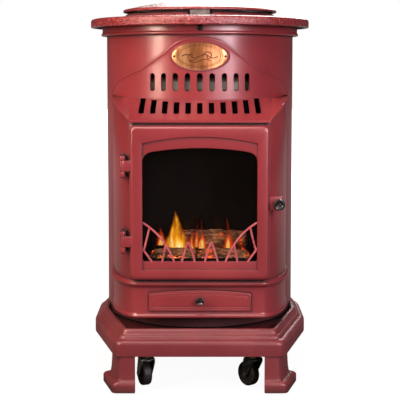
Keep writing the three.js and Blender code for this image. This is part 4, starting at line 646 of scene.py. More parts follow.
def drumShell():
    # upright wall as a grid of angle and height; squares inside the openings are left out
    radius = drum["radius"]
    rearLow, rearHigh = boxOf("rear_door")
    fire = math.asin(drum["fireHalfWidth"] / radius)
    slot = math.asin(drum["slotHalfWidth"] / radius)
    rear = math.pi - math.radians(drum["rearOpeningAngle"])
    fireLow, hoodTop = front["casing"][0][2] + drum["fireLap"], front["fascia"][0][2] + drum["hoodRise"]
    slotTop = hoodTop + drum["slotRise"]
    doorLow, doorHigh = rearLow[2] + drum["rearLap"], rearHigh[2] - drum["rearLap"]
    angles = np.unique(np.concatenate([np.linspace(-math.pi, math.pi, drum["columns"]),
                                       [-rear, -fire, -slot, slot, fire, rear]]).round(6))
    levels = np.unique(np.concatenate([np.linspace(drumLow[2], drumHigh[2], drum["rows"]),
                                       [fireLow, hoodTop, slotTop, doorLow, doorHigh]]).round(3))
    angle, level = np.meshgrid(angles, levels, indexing="ij")
    points = np.stack([radius * np.sin(angle), -radius * np.cos(angle), level], -1).reshape(-1, 3)
    faces = np.array(gridFaces(len(angles), len(levels), False, False))
    midAngle, midLevel = [field.ravel()[faces].mean(1) for field in (angle, level)]
    gone = (np.abs(midAngle) < fire) & (midLevel > fireLow) & (midLevel < hoodTop)
    gone |= (np.abs(midAngle) < slot) & (midLevel > hoodTop) & (midLevel < slotTop)
    gone |= (np.abs(midAngle) > rear) & (midLevel > doorLow) & (midLevel < doorHigh)
    piece = meshObject("drumShell", [(points, faces[~gone].tolist())])
    wall = piece.modifiers.new("wall", "SOLIDIFY")
    wall.thickness, wall.offset = drum["wall"] / 1000, -1
    wall.use_even_offset = True
    applyModifiers(piece)
    place(piece, "drum", "cabinet", "drum_shell")


def collarRing():
    low, high = boxOf("collar_ring")
    outer = high[0]
    wall = outer - 2.5
    profile = soften([
        (drum["radius"] + 0.3, low[2]), (wall + 1, low[2]), (outer, low[2] + 1.5), (outer, low[2] + 4),
        (wall, low[2] + 6.5), (wall, high[2]), (drum["radius"] - 13, high[2]), (drum["radius"] - 13, high[2] - 3),
        (wall - 3, high[2] - 3), (wall - 3, low[2] + 3), (drum["radius"] + 0.3, low[2] + 3)],
        [0.5, 1, 2, 2, 1.5, 0.8, 0.8, 0.5, 1, 1, 0.5])
    piece = meshObject("collarRing", [lathe(profile, 192)])
    place(piece, "drum", "cabinet", "collar_ring")
    low, high = boxOf("collar_screw")
    centre = (low[2] + high[2]) / 2
    head = soften([(0, 0), (6, 0), (6, 1.4), (4.2, 3), (0, 3)], [0, 0.4, 1.2, 1.2, 0], 4, False)
    screw = meshObject("collarScrew", [
        shift(facing(lathe(head, 40, False)), 0, low[1] + 3, centre),
        rod("y", 2.1, -high[1], -low[1] - 2.5, (0, 0, centre), 0.3, 24)])
    combine(screw, [roundBlock((-4, low[1] - 1, centre - 0.7), (4, low[1] + 1.4, centre + 0.7), 0.2),
                    roundBlock((-0.7, low[1] - 1, centre - 4), (0.7, low[1] + 1.4, centre + 4), 0.2)])
    place(screw, "plastic", "cabinet", "collar_screw")


lidLow, lidHigh = boxOf("lid")
hingeY, hingeZ = lidHigh[1] - 5.5, lidLow[2] + 5
top = {"rimHeight": 19, "ringOuter": 152, "ringInner": 146, "ringHeight": 13, "notches": 8, "notchHalfWidth": 22,
       "shoulder": 21, "sideNotchDepth": 3, "columns": 1440, "hingeX": 24.3}


def topPlate():
    # rim and raised ring turned in one profile; the ring's height falls away inside each notch
    low, high = boxOf("top_plate")
    rim, bottom = high[0], low[2]
    rimTop = bottom + top["rimHeight"]
    seat, under = rimTop - 5, drumHigh[2] + 3.6
    outer, inner, ringTop = top["ringOuter"], top["ringInner"], rimTop + top["ringHeight"]
    profile = soften([
        (rim - 8, bottom), (rim - 1, bottom), (rim, bottom + 2), (rim, rimTop - 5.5), (rim - 2, rimTop - 1.5),
        (rim - 8, rimTop), (outer + top["shoulder"], rimTop), (outer + 8, rimTop + 10), (outer + 2, ringTop),
        (inner, ringTop), (inner, seat), (inner - 8, seat), (inner - 8, under), (rim - 8, under)],
        [1, 1.5, 2, 3, 3, 2, 3, 2, 1.6, 1.6, 0.3, 0.4, 0.4, 1])
    angle = np.linspace(0, 2 * math.pi, top["columns"], endpoint=False)[:, None]
    pitch = 2 * math.pi / top["notches"]
    fromNotch = np.abs((angle + pitch / 2) % pitch - pitch / 2) * outer
    depth = np.where(np.cos(angle) > 0.9, top["ringHeight"] - 3, top["sideNotchDepth"])  # only the front one is deep
    floor = ringTop - depth * (1 - np.clip((fromNotch - top["notchHalfWidth"]) / 1.6, 0, 1))
    radius, height = profile[None, :, 0] + 0 * angle, np.minimum(profile[None, :, 1], floor)
    fromEdge = fromNotch[:, 0] - top["notchHalfWidth"]
    keep = (fromEdge <= 4) & (fromEdge >= -2)  # columns stay close together only beside a notch's edge
    keep[::9] = True
    points = np.stack([radius * np.sin(angle), -radius * np.cos(angle), height], -1)[keep]
    shapes = [loft(points, True)]
    for side in (-1, 1):
        x = side * top["hingeX"]
        shapes += [roundBlock((x - 3.7, hingeY - 8, rimTop - 1), (x + 3.7, hingeY + 8, hingeZ + 1), 1),
                   rod("x", 8, x - 3.7, x + 3.7, (0, hingeY, hingeZ), 1)]
    place(meshObject("topPlate", shapes), "rim", "cabinet", "top_plate")
    left, right = (corner[0] for corner in boxOf("lid_hinge_pin"))
    pin = [(2.5, left + 1, right - 1, 0.2), (4, left, left + 2, 0.5), (4, right - 2, right, 0.5)]
    place(meshObject("lidHingePin", [rod("x", radius, start, end, (0, hingeY, hingeZ), edge, 24)
                                     for radius, start, end, edge in pin]), "zinc", "cabinet", "lid_hinge_pin")


def lidDisc():
    # shallow spun dome with a rolled edge: height falls with the square of the radius
    foot, radius, edge, shell = lidLow[2], lidHigh[0], lidLow[2] + 5, 3
    rise = lidHigh[2] - edge
    share = np.linspace(0, 0.93, 14)
    outer = np.stack([share * radius, edge + rise * (1 - share ** 2)], -1)
    rolled = soften([(0.93 * radius, edge + rise * (1 - 0.93 ** 2)), (radius - 2, edge + 0.8), (radius, edge - 1.6),
                     (radius, foot + 0.8), (radius - 1, foot), (radius - 9, foot), (radius - 10, foot + 2)],
                    [0, 2.5, 1.2, 0.6, 0.6, 1, 0], 5, False)
    share = np.linspace(0.9, 0, 10)
    inner = np.stack([share * radius, edge - shell + rise * (1 - share ** 2)], -1)
    profile = np.concatenate([outer, rolled, inner])
    shapes = [lathe(profile, 192, False),
              roundBlock((-20, radius - 9, foot + 0.5), (20, hingeY, hingeZ + 3.5), 1.2),
              rod("x", 5.5, -20, 20, (0, hingeY, hingeZ), 0.8)]
    place(meshObject("lidDisc", shapes), "rim", "lid", "lid")


drumShell()
collarRing()
topPlate()
lidDisc()
print("drum and top ready")


# controls under the lid
def controls():
    low, high = boxOf("control_knob")
    x, y = (low[0] + high[0]) / 2, (low[1] + high[1]) / 2
    radius, foot = (high[0] - low[0]) / 2, low[2]
    angle = np.linspace(0, 2 * math.pi, 96, endpoint=False)[:, None]
    profile = soften([(4.3, foot), (radius, foot), (radius, foot + 3), (radius - 3, foot + 5),
                      (radius - 4, foot + 13), (radius - 6, foot + 14.5), (0, foot + 14.5), (0, foot + 9),
                      (4.3, foot + 9)],
                     [0.2, 0.6, 1, 1.2, 1.2, 1, 0, 0, 0.3])
    grip = (profile[None, :, 1] > foot + 5) & (profile[None, :, 0] > radius - 7)
    ribs = 1 - 0.035 * (np.cos(angle * 16) > 0) * grip
    r = profile[None, :, 0] * ribs
    points = np.stack([r * np.sin(angle), -r * np.cos(angle), profile[None, :, 1] + 0 * angle], -1)
    pointer = roundBlock((x - 3.5, low[1] + 4.5, foot + 14), (x + 3.5, high[1] - 4.5, high[2]), 0.8)
    knob = meshObject("controlKnob", [shift(loft(points, True), x, y, 0), pointer])
    place(knob, "plastic", "control_knob", "control_knob")
    low, high = boxOf("igniter_button")
    x, y = (low[0] + high[0]) / 2, (low[1] + high[1]) / 2
    cap = soften([(0, low[2]), (7.6, low[2]), (7.6, low[2] + 5.5), (6, low[2] + 5.5), (6, high[2]), (3.5, high[2]),
                  (2.8, high[2] - 0.5), (0, high[2] - 0.5)], [0, 0.3, 0.3, 0.2, 1.2, 0.5, 0.3, 0], 4, False)
    place(meshObject("igniterButton", [shift(lathe(cap, 48, False), x, y, 0)]), "plastic", "igniter_button",
          "igniter_button")


controls()


# stove front: plan of its outline
plan = {"frontHalfWidth": 130, "frontY": -262, "cheekX": 182, "wall": 4, "cornerRound": 9, "cornerShare": 0.11,
        "frontPoints": 14, "cornerPoints": 10, "cheekPoints": 26}
plan["cheekEndY"] = -math.sqrt(drum["radius"] ** 2 - plan["cheekX"] ** 2) - 7


def cheekAt(t):
    # quadratic from the front corner back to the drum
    t = np.asarray(t, float)[..., None]
    a = np.array((plan["frontHalfWidth"], plan["frontY"]))
    b = np.array((plan["cheekX"] - 2, plan["frontY"] + 40))
    c = np.array((plan["cheekX"], plan["cheekEndY"]))
    return (1 - t) ** 2 * a + 2 * t * (1 - t) * b + t ** 2 * c


def planPath():
    # right half of the outline from the middle of the front, with its corner rounded: points, normals, cheek share
    half, y, r, front = plan["frontHalfWidth"], plan["frontY"], plan["cornerRound"], plan["frontPoints"]
    cornerShare, corners = plan["cornerShare"], plan["cornerPoints"]
    flat = np.stack([np.linspace(0, half - r, front, endpoint=False), np.full(front, y)], -1)
    corner = bend((half - r, y), (half, y), cheekAt(cornerShare), corners)
    t = np.linspace(cornerShare, 1, plan["cheekPoints"])
    right = np.concatenate([flat, corner, cheekAt(t)])
    share = np.concatenate([np.zeros(front), np.linspace(0, cornerShare, corners, endpoint=False), t])
    points = np.concatenate([right[:0:-1] * (-1, 1), right])
    shares = np.concatenate([share[:0:-1], share])
    along = np.gradient(points, axis=0)
    along /= np.linalg.norm(along, axis=1)[:, None]
    return points, np.stack([along[:, 1], -along[:, 0]], -1), shares


pathPoints, pathNormals, pathShares = planPath()
hood = {"bottom": front["fascia"][0][2], "height": 44, "overhang": 6, "cornerOverhang": 10.6, "tailOverhang": 3,
        "flatShare": 0.7, "columns": 261, "slots": 5, "slotPitch": 23.3, "slotWidth": 11, "slotLift": 15.8,
        "slotDrop": 8, "slotLean": -0.012}
skin = {"thickness": 4, "halfAngle": 65, "rise": 123, "inner": drum["radius"] + 0.3, "columns": 181,
        "slots": 4, "slotPitch": 6.9, "slotWidth": 11.4, "slotLift": 14.6, "slotHeight": 36.8,
        "arcLength": 236, "fullDrop": 120, "ogee": [(-42, 6.8), (0, 0), (42, 6.8), (75, 29), (120, 57), (177, 75.5),
                                                    (208, 90), (226, 105), (236, 120), (240, 134)]}
badge = {"halfWidth": 55.5, "halfHeight": 27.5, "drop": 38, "rivetX": 51}


def hoodEdge(t):
    # the hood's lower edge: level in front, rising along the cheeks
    return hood["bottom"] + (hood["height"] + 2) * (1 - (1 - t) ** 2)


def planSweep(profileAt):
    # carries an (outset, height) profile round the plan; profileAt takes the cheek share
    rows = np.array([profileAt(t) for t in pathShares])
    flatPoints = pathPoints[:, None] + pathNormals[:, None] * rows[..., :1]
    return loft(np.dstack([flatPoints, rows[..., 1:]]))


def frontSlab(outline, yBack, yFront):
    # an outline in x and z carried straight towards the front
    return loft([upright(outline, y) for y in (yBack, yFront)])


def capsule(width, low, high, count=12):
    # upright slot outline with round ends
    r = width / 2
    angle = np.linspace(0, math.pi, count)
    upper = np.stack([r * np.cos(angle), high - r + r * np.sin(angle)], -1)
    lower = np.stack([-r * np.cos(angle), low + r - r * np.sin(angle)], -1)
    return np.concatenate([upper, lower])


def ogeeTop(angle):
    # height of the skin's top edge: a smooth curve through a few (arc length, drop) points of one side
    knots = np.array(skin["ogee"])
    p, q, r, s = knots[:-3], knots[1:-2], knots[2:-1], knots[3:]
    t = np.linspace(0, 1, 24, endpoint=False)[:, None, None]
    curve = 0.5 * (2 * q + (r - p) * t + (2 * p - 5 * q + 4 * r - s) * t ** 2 + (3 * q - p - 3 * r + s) * t ** 3)
    curve = curve.transpose(1, 0, 2).reshape(-1, 2)
    along = np.abs(angle) / math.radians(skin["halfAngle"]) * skin["arcLength"]
    drop = np.interp(along, curve[:, 0], curve[:, 1])
    return hood["bottom"] + hood["height"] + skin["rise"] * (1 - drop / skin["fullDrop"])


def fasciaSkin():
    # curved sheet: angle by rounded section; its top edge carries a thin bead
    hoodTop = hood["bottom"] + hood["height"]
    angle = math.radians(skin["halfAngle"]) * np.sin(np.linspace(-math.pi / 2, math.pi / 2, skin["columns"]))
    inner, outer = skin["inner"], skin["inner"] + skin["thickness"]
    section = soften([(inner, 0, -9), (outer, 0, -9), (outer, 1, -6), (outer + 1.6, 1, -4), (outer + 1.6, 1, -1),
                      (outer - 1, 1, 0.6), (inner, 1, 0.6)], [0, 0, 2, 1.4, 1.4, 1.4, 0.3])
    rise = ogeeTop(angle)[:, None] - hoodTop
    r, f, dz = section[None, :, 0], section[None, :, 1], section[None, :, 2]
    height = hoodTop + f * rise + dz
    a = angle[:, None]
    return loft(np.stack([r * np.sin(a), -r * np.cos(a), height + 0 * a], -1))


def hoodShell():
    # from the skin's curve down and out to the lip: along the front to the corners, then back along the cheeks
    share = np.linspace(-1, 1, hood["columns"])
    reach = np.abs(share)
    t = np.clip((reach - hood["flatShare"]) / (1 - hood["flatShare"]), 0, 1) ** 1.5
    cheek = cheekAt(t)
    ahead = cheekAt(t + 0.01) - cheekAt(t - 0.01)
    normal = np.stack([-ahead[:, 1], ahead[:, 0]], -1) / np.linalg.norm(ahead, axis=1)[:, None]
    normal *= -np.sign(normal[:, 1:] + 1e-9)
    tail = hood["tailOverhang"]
    cheek = cheek + normal * (tail + (hood["cornerOverhang"] - tail) * (1 - t) ** 2)[:, None]
    lipY = plan["frontY"] - hood["overhang"]
    cheek[:, 1] = np.maximum(cheek[:, 1], lipY)
    level = np.stack([cheek[len(share) // 2, 0] * reach / hood["flatShare"], np.full_like(reach, lipY)], -1)
    lip = np.where(reach[:, None] < hood["flatShare"], level, cheek)
    lip[:, 0] *= np.sign(share)
    angle = math.radians(skin["halfAngle"]) * share
    rear = skin["inner"] + skin["thickness"] - 0.5
    back = np.stack([rear * np.sin(angle), -rear * np.cos(angle)], -1)
    hoodTop = hood["bottom"] + hood["height"]
    backZ = hoodTop - 4 * (1 - np.clip(reach / 0.55, 0, 1) ** 2)
    lipZ = hoodEdge(t)
    away = lip - back
    length = np.maximum(np.linalg.norm(away, axis=1), 1)[:, None]
    away = away / length
    wall = np.minimum(plan["wall"], length * 0.4)
    crest = np.minimum(1.6, length * 0.1)

    thick = np.clip(length[:, 0] / 30, 0.15, 1)  # the sheet thins out towards the tails
    nose = lip + away * crest * 0.9
    section = [(back, backZ), (back + away * crest * 2, backZ + 1.2 * thick),
               (lip - away * crest * 1.8, lipZ + 6.6 * thick), (lip - away * crest * 0.3, lipZ + 5.4 * thick),
               (nose, lipZ + 3.6 * thick), (nose, lipZ), (lip - away * wall, lipZ), (back, backZ - 6)]
    return loft(np.stack([np.concatenate([flat, z[:, None]], 1) for flat, z in section], 1))


def fascia():
    outer = skin["inner"] + skin["thickness"]
    piece = meshObject("upperFascia", [fasciaSkin()])
    combine(piece, [hoodShell()], "UNION")
    hoodTop = hood["bottom"] + hood["height"]
    peak = hoodTop + skin["rise"]
    shapes = []
    for i in range(-skin["slots"], skin["slots"] + 1):
        low = hoodTop + skin["slotLift"]
        slot = frontSlab(capsule(skin["slotWidth"], low, low + skin["slotHeight"]), -190, -225)
        shapes.append(turnZ(slot, i * skin["slotPitch"]))
    for i in range(-hood["slots"], hood["slots"] + 1):
        half, low = hood["slotWidth"] / 2, hood["bottom"] + hood["slotLift"]
        high = hoodTop - hood["slotDrop"] * (1 - (i / hood["slots"]) ** 2)
        lean = hood["slotLean"] * i
        outline = soften([(-half, low), (half, low), (half + lean * (high - low), high),
                          (-half + lean * (high - low), high)], [3, 3, 1, 1], 5)
        shapes.append(shift(frontSlab(outline, -150, -300), i * hood["slotPitch"], 0, 0))
    combine(piece, shapes)
    softEdges(piece, 0.7, 45)
    piece.data.validate()  # drops two doubled faces that the cuts leave
    place(piece, "skin", "cabinet", "upper_fascia")
    rimCentre = peak - badge["drop"]
    border = ovalOnDrum(soften([(1 + 0.4 / 55, -1.2), (1 + 0.4 / 55, 1.9), (1.035, 2.3), (1.085, 1.2), (1.11, -1.2)],
                               [0, 0.01, 0.01, 0.01, 0], 4, False), rimCentre, outer, False)
    place(meshObject("badgeBorder", [border]), "skin", "cabinet")


def ovalOnDrum(profile, middle, radius, closeCentre=True):
    # (share of the oval, height over the skin) pairs carried round an oval that lies on the curved skin
    profile = np.asarray(profile, float)
    angle = np.linspace(0, 2 * math.pi, 128, endpoint=False)[:, None]
    share, lift = profile[None, :, 0], profile[None, :, 1]
    across = badge["halfWidth"] * share * np.cos(angle)
    up = badge["halfHeight"] * share * np.sin(angle)
    turn = np.arcsin(across / radius)
    r = radius + lift
    return loft(np.stack([r * np.sin(turn), -r * np.cos(turn), middle + up], -1), True)


def badgePlate():
    # pressed oval plate: rounded rim, two engraved ovals, an engraved scroll, and a rivet at each end
    low, high = boxOf("badge_plate")
    middle = (low[2] + high[2]) / 2
    seat = skin["inner"] + skin["thickness"] + 0.3
    profile = [(0, 0), (0.98, 0), (1, 0.4), (1, 1.1), (0.97, 1.8), (0.85, 1.5), (0.84, 0.9), (0.815, 0.9),
               (0.805, 1.5), (0.77, 1.5), (0.76, 0.9), (0.74, 0.9), (0.73, 1.5), (0.4, 1.55), (0, 1.6)]
    piece = meshObject("badgePlate", [ovalOnDrum(profile, middle, seat)])
    place(piece, "copper", "cabinet", "badge_plate")
    t = np.linspace(0, 1, 60)
    lines = []
    for side in (-1, 1):  # a plain scroll: a shrinking spiral at each end of a wave
        turn = t * 2.6 * math.pi
        x = side * (17 - 11 * (1 - t) ** 1.2 * np.cos(turn))
        z = middle + 11 * (1 - t) ** 1.2 * np.sin(turn) * side
        lines.append((x, z))
    x = np.linspace(-36, 36, 60)
    lines.append((x, middle + 3.5 * np.sin(x / 36 * 2 * math.pi)))
    lines.append((x * 0.6, middle - 9 + 3 * np.sin(x / 36 * math.pi)))
    shapes = []
    for x, z in lines:
        y = -np.sqrt((seat + 1.45) ** 2 - x ** 2)
        shapes.append(tubeAlong(np.stack([x, y, z], -1), 1.0, 0.35, 8, 1.0))
    for level in (0.775, 0.79):  # dark floor of the engraved ovals
        ring = [(level - 0.03, 0.5), (level + 0.035, 0.5), (level + 0.035, 1.0), (level - 0.03, 1.0)]
        shapes.append(ovalOnDrum(ring, middle, seat))
    place(meshObject("badgeEngraving", shapes), "engraved", "cabinet")
    rivets, head = [], soften([(0, 0), (2.6, 0), (2.6, 0.6), (1.4, 1.5), (0, 1.5)], [0, 0.2, 0.4, 0.6, 0], 4, False)
    for side in (-1, 1):
        turn = math.degrees(math.asin(badge["rivetX"] / seat))
        rivets.append(turnZ(shift(facing(lathe(head, 24, False)), 0, -seat - 1.3, middle), side * turn))
    place(meshObject("badgeRivets", rivets), "engraved", "cabinet")


def surroundAndCasing():
    low, wall = front["surround"][0], plan["wall"]

    def wallProfile(t):
        edge = hoodEdge(t) + 0.4
        return [(0, low[2]), (0, edge), (-wall, edge), (-wall, low[2])]

    surround = meshObject("doorSurround", [planSweep(wallProfile)])
    doorFoot = boxOf("door_frame")[0][2]
    glassLow, glassHigh = boxOf("door_glass")
    magnetLow, magnetHigh = boxOf("magnet_catch")
    combine(surround, [
        roundBlock((glassLow[0] + 0.4, -275, doorFoot + 30), (glassHigh[0] - 0.4, -250, doorFoot + 271), 8),
        roundBlock((magnetLow[0] - 0.3, -275, magnetLow[2] + 5.7),
                   (magnetHigh[0] + 0.3, -256, magnetHigh[2] - 5.7), 0.5)])
    softEdges(surround, 0.8, 50)
    place(surround, "sheet", "cabinet", "door_surround")
    low, high = front["casing"]
    ledge = high[2] - 12
    casingProfile = soften([
        (-wall, low[2]), (2, low[2]), (3.5, low[2] + 1.8), (3.5, low[2] + 4.5), (0, low[2] + 8.5), (0, ledge - 3),
        (4.6, ledge + 0.5), (7, ledge + 3.5), (7, ledge + 6.5), (3.5, ledge + 10), (1.5, high[2]), (-wall, high[2])],
        [0.5, 1, 1.5, 1.5, 3, 2.5, 1.5, 2, 2, 2, 0.8, 0.3])
    casing = meshObject("lowerCasing", [planSweep(lambda t: casingProfile)])
    drawerLow, drawerHigh = boxOf("drawer_front")
    mouth = archOutline(drawerHigh[0] + 0.6, drawerLow[2] - 0.6, drawerHigh[2] - 5.9, drawerHigh[2] + 0.6)
    combine(casing, [frontSlab(mouth, -250, -275)])
    softEdges(casing, 0.5, 50)
    place(casing, "sheet", "cabinet", "lower_casing")


def archOutline(half, low, side, crown, count=24):
    # rectangle whose top edge is a shallow arch
    arch = bend((half, side), (0, 2 * crown - side), (-half, side), count)
    return np.concatenate([[(-half, low), (half, low)], arch, [(-half, side)]])


fascia()
badgePlate()
surroundAndCasing()
print("stove front ready")


# drawer
def drawerFront():
    # face with a raised bead: outlines of one arched shape at growing insets, each at its own depth
    low, high = boxOf("drawer_front")
    face, back = low[1], high[1]
    half, side = high[0], high[2] - 6.5
    rows = [(0, back), (0, face + 0.9), (0.3, face + 0.3), (0.9, face), (3.6, face), (4.0, face + 0.3),
            (4.4, face - 0.9), (5.2, face - 1.5), (6.2, face - 1.5), (7.0, face - 0.9), (7.4, face + 0.3),
            (8.0, face + 0.1), (12, face)]
    rings = [upright(archOutline(half - inset, low[2] + inset, side - 0.8 * inset, high[2] - inset, 40), min(y, back))
             for inset, y in rows]
    points, faces = loft(rings)
    points[:, 1] = np.maximum(points[:, 1], low[1])
    piece = meshObject("drawerFront", [(points, faces)])
    place(piece, "sheet", "drawer", "drawer_front")


def smallKnob(name, node, body):
    # turned knob: thin neck, swelling rim and a dished face with a centre screw
    low, high = boxOf(node)
    radius, length = (high[0] - low[0]) / 2, high[1] - low[1]
    dish = length * 0.84
    profile = soften([
        (0, 0), (radius * 0.45, 0), (radius * 0.42, length * 0.35), (radius * 0.86, length * 0.48),
        (radius, length * 0.66), (radius, dish), (radius * 0.84, length), (radius * 0.62, length * 0.94),
        (radius * 0.34, dish), (0, dish)], [0, 0.2, 1.5, 2, 2, 2, 1.2, 1.5, 1, 0], 5, False)
    centre = ((low[0] + high[0]) / 2, high[1], (low[2] + high[2]) / 2)
    knob = meshObject(name, [shift(facing(lathe(profile, 56, False)), *centre)])
    place(knob, "plastic", body, node)
    stud = soften([(0, 0), (radius * 0.26, 0), (radius * 0.26, 0.7), (0, 1.2)], [0, 0.2, 0.5, 0], 3, False)
    screw = shift(shift(facing(lathe(stud, 32, False)), *centre), 0, -dish, 0)
    place(meshObject(name + "Screw", [screw]), "plastic", body)


drawerFront()
smallKnob("drawerKnob", "drawer_knob", "drawer")

# door
doorLow, doorHigh = boxOf("door_frame")
door = {"halfWidth": 133.7, "thickness": 14, "windowHalf": 112.6, "sill": 38, "windowHeight": 223, "recess": 3.6,
        "edge": 9, "rollOver": 4.2, "hingeX": -151.2, "hingeY": -270, "lugs": {"upper": 226, "lower": 77},
        "lugHalf": 10.5, "tabZ": 152}
# fret bars of the right half: (x, height over the sill); True marks an x counted from the window's edge
fretBars = [[(2, 78, True), (70.5, 53.5), (50, -2)], [(-14, 67, True), (-9, 45, True), (-3, 23, True)],
            [(2, 27, True), (-9, 14, True), (-19, -2, True)], [(67, 33), (71, 14), (74, -2)],
            [(22.7, 38), (30, 20), (35.5, -2)], [(22.7, 38), (14, 20), (10, -2)]]
doorFace, doorBack = doorLow[1], doorLow[1] + door["thickness"]
sillZ = doorLow[2] + door["sill"]
windowTop = sillZ + door["windowHeight"]


def doorOutline(half, low, foot, sideZ, pullZ, shoulder, shoulderZ, crown):
    # closed outline in x and z with matching points: foot corners, sides, shoulders and an arched top
    return np.concatenate([
        bend((-half, low + foot), (-half, low), (-half + foot, low), 8),
        straight((-half + foot, low), (half - foot, low), 12),
        bend((half - foot, low), (half, low), (half, low + foot), 8),
        straight((half, low + foot), (half, sideZ), 12),
        bend((half, sideZ), (half, pullZ), (half - shoulder, shoulderZ), 10),
        bend((half - shoulder, shoulderZ), (0, 2 * crown - shoulderZ), (-half + shoulder, shoulderZ), 40),
        bend((-half + shoulder, shoulderZ), (-half, pullZ), (-half, sideZ), 10),
        straight((-half, sideZ), (-half, low + foot), 12)])


def doorFrame():
    # rings of outlines from the back round the outer edge to the face, then in to the window and its rebate
    half, width, roll, edge = door["halfWidth"], door["windowHalf"], door["rollOver"], door["edge"]
    glassLow, glassHigh = boxOf("door_glass")

    def outer(inset, y):
        r = 14 - 0.7 * inset
        high = doorHigh[2] + 1.6 * roll - inset
        return upright(doorOutline(half + roll - inset, doorLow[2] + inset, r, high - r, high, r, high, high), y)

    def recess(grow, y):
        return upright(doorOutline(width + grow, sillZ - 17 - grow, 1.5, windowTop + 8 + grow, windowTop + 9 + grow,
                                   1.5, windowTop + 9.3 + grow, windowTop + 22 + grow), y)

    def window(grow, y):
        return upright(doorOutline(width + grow, sillZ - grow, 6 + grow, windowTop - 30, windowTop - 11 + grow, 19,
                                   windowTop - 7.5 + grow, windowTop + grow), y)

    def rebate(y):
        rise = glassHigh[2] + 0.6
        outline = doorOutline(glassHigh[0] + 0.6, glassLow[2] - 0.6, 0.5, glassHigh[2], rise, 0.5, rise, rise)
        return upright(outline, y)

    phase = np.linspace(0, math.pi / 2, 7)
    rows = [outer(1, doorBack), outer(0, doorBack - 1), outer(0, doorFace + edge)]
    rows += [outer(edge * (1 - math.cos(p)), doorFace + edge * (1 - math.sin(p))) for p in phase[1:]]
    floor = doorFace + door["recess"]
    rows += [recess(1.2, doorFace), recess(0.5, doorFace + 0.2), recess(0.1, doorFace + 0.8), recess(0, floor - 0.5),
             recess(-0.4, floor), window(1.3, floor), window(0.5, floor + 0.2), window(0.05, floor + 1.0),
             window(0, doorBack - 5.5), rebate(doorBack - 5.5), rebate(doorBack)]
    shapes = [loft(rows, True)]
    fret = []
    for bar in fretBars:
        ends = [(p[0] + (width + 0.2 if len(p) > 2 else 0), doorFace + 5.75, sillZ + p[1]) for p in bar]
        path = np.concatenate([bend(*ends, 24), [ends[2]]])
        for side in (-1, 1):
            fret.append(tubeAlong(path * (side, 1, 1), 2, 2.25))
    place(meshObject("doorFret", fret), "fret", "door")
    for lug in door["lugs"].values():
        z = doorLow[2] + lug
        x, y, reach = door["hingeX"], door["hingeY"], door["lugHalf"]
        shapes += [roundBlock((x, y - 5, z - reach), (-half + 1, y + 4, z + reach), 0.9),
                   rod("z", 6, z - reach, z + reach, (x, y, 0), 0.8)]
    tab = doorLow[2] + door["tabZ"]
    shapes.append(roundBlock((half - 1, doorFace + 4, tab - 14), (doorHigh[0], doorFace + 10, tab + 14), 1.0))
    place(meshObject("doorFrame", shapes), "sheet", "door", "door_frame")


def hinges():
    for name, lug in door["lugs"].items():
        z = doorLow[2] + lug
        half, x, y = door["lugHalf"], door["hingeX"], door["hingeY"]
        shapes = []
        for low, high in ((z - half - 11, z - half - 0.3), (z + half + 0.3, z + half + 10)):
            shapes += [rod("z", 6, low, high, (x, y, 0), 0.8),
                       roundBlock((x - 4.5, y, low), (x + 5, y + 26, high), 0.8)]
        shapes.append(roundBlock((x - 7, y + 20, z - half - 11), (x + 7, y + 30, z + half + 10), 1))
        place(meshObject("hingeBracket" + name.title(), shapes), "sheet", "cabinet", "hinge_bracket_" + name)
        low, high = boxOf("hinge_pin_" + name)
        shapes = [rod("z", 2.5, low[2], high[2] - 2, (x, y, 0), 0.5, 24),
                  rod("z", 4.5, high[2] - 4, high[2], (x, y, 0), 1.2, 32),
                  rod("z", 4.5, low[2], low[2] + 3, (x, y, 0), 1.2, 32)]
        place(meshObject("hingePin" + name.title(), shapes), "plastic", "cabinet", "hinge_pin_" + name)


doorFrame()
hinges()
smallKnob("doorKnob", "door_knob", "door")
print("door and drawer ready")

# fire
# tongues of flame: middle x, foot z, height, width, y
bark = {"alongPoints": 70, "roundPoints": 60, "fill": 0.86, "sag": 1.5}
tongue = {"rows": 40, "columns": 15, "sway": 4, "bow": 5}
fire = {
    "yellowFlame": [(-47, 272, 78, 46, -208), (-44, 272, 58, 46, -212), (-56, 276, 64, 30, -209),
                    (-36, 276, 50, 28, -210)],
    "redFlame": [(-7, 276, 74, 15, -208), (6, 278, 70, 13, -210), (5, 274, 52, 30, -212), (57, 266, 70, 26, -210),
                 (60, 268, 50, 20, -208), (-16, 272, 44, 22, -209), (-80, 280, 46, 30, -208),
                 (88, 260, 30, 26, -216)],
    # the fireGlow sheets are painted firelight glow, not flames
    "fireGlow": [(-30, 262, 130, 150, -160), (40, 262, 110, 130, -162)],
}


def logPiece(name, node, tilt):
    # bark surface: a bent tube whose radius swells and ripples with angle and length
    low, high = boxOf(node)
    middle, size = (low + high) / 2, high - low
    radius = min(size[1], size[2]) / 2 * bark["fill"]
    s = np.linspace(0, 1, bark["alongPoints"])[:, None]
    angle = np.linspace(0, 2 * math.pi, bark["roundPoints"], endpoint=False)[None, :]
    ripple = 0.06 * np.sin(3 * angle + 5 * s) + 0.05 * np.sin(7 * angle - 4 * s) + 0.035 * np.sin(13 * angle + 11 * s)
    crack = 0.04 * np.sin(23 * s + 3 * np.sin(angle * 2)) + 0.03 * np.sin(51 * s + 4 * angle)
    endRound = np.sqrt(np.clip(1 - np.clip((np.abs(s - 0.5) - 0.46) / 0.04, 0, 1) ** 2, 0.05, 1))
    r = radius * (0.93 + ripple + crack) * endRound
    x = low[0] + size[0] * s + 0 * angle
    y = middle[1] + tilt * (s - 0.5) + r * np.cos(angle)
    z = middle[2] + bark["sag"] * np.sin(s * 5) + r * np.sin(angle)
    points = np.clip(np.stack([x, y, z], -1), low + 0.2, high - 0.2)
    place(meshObject(name, [loft(points)]), "log", "cabinet", node, crease=70)


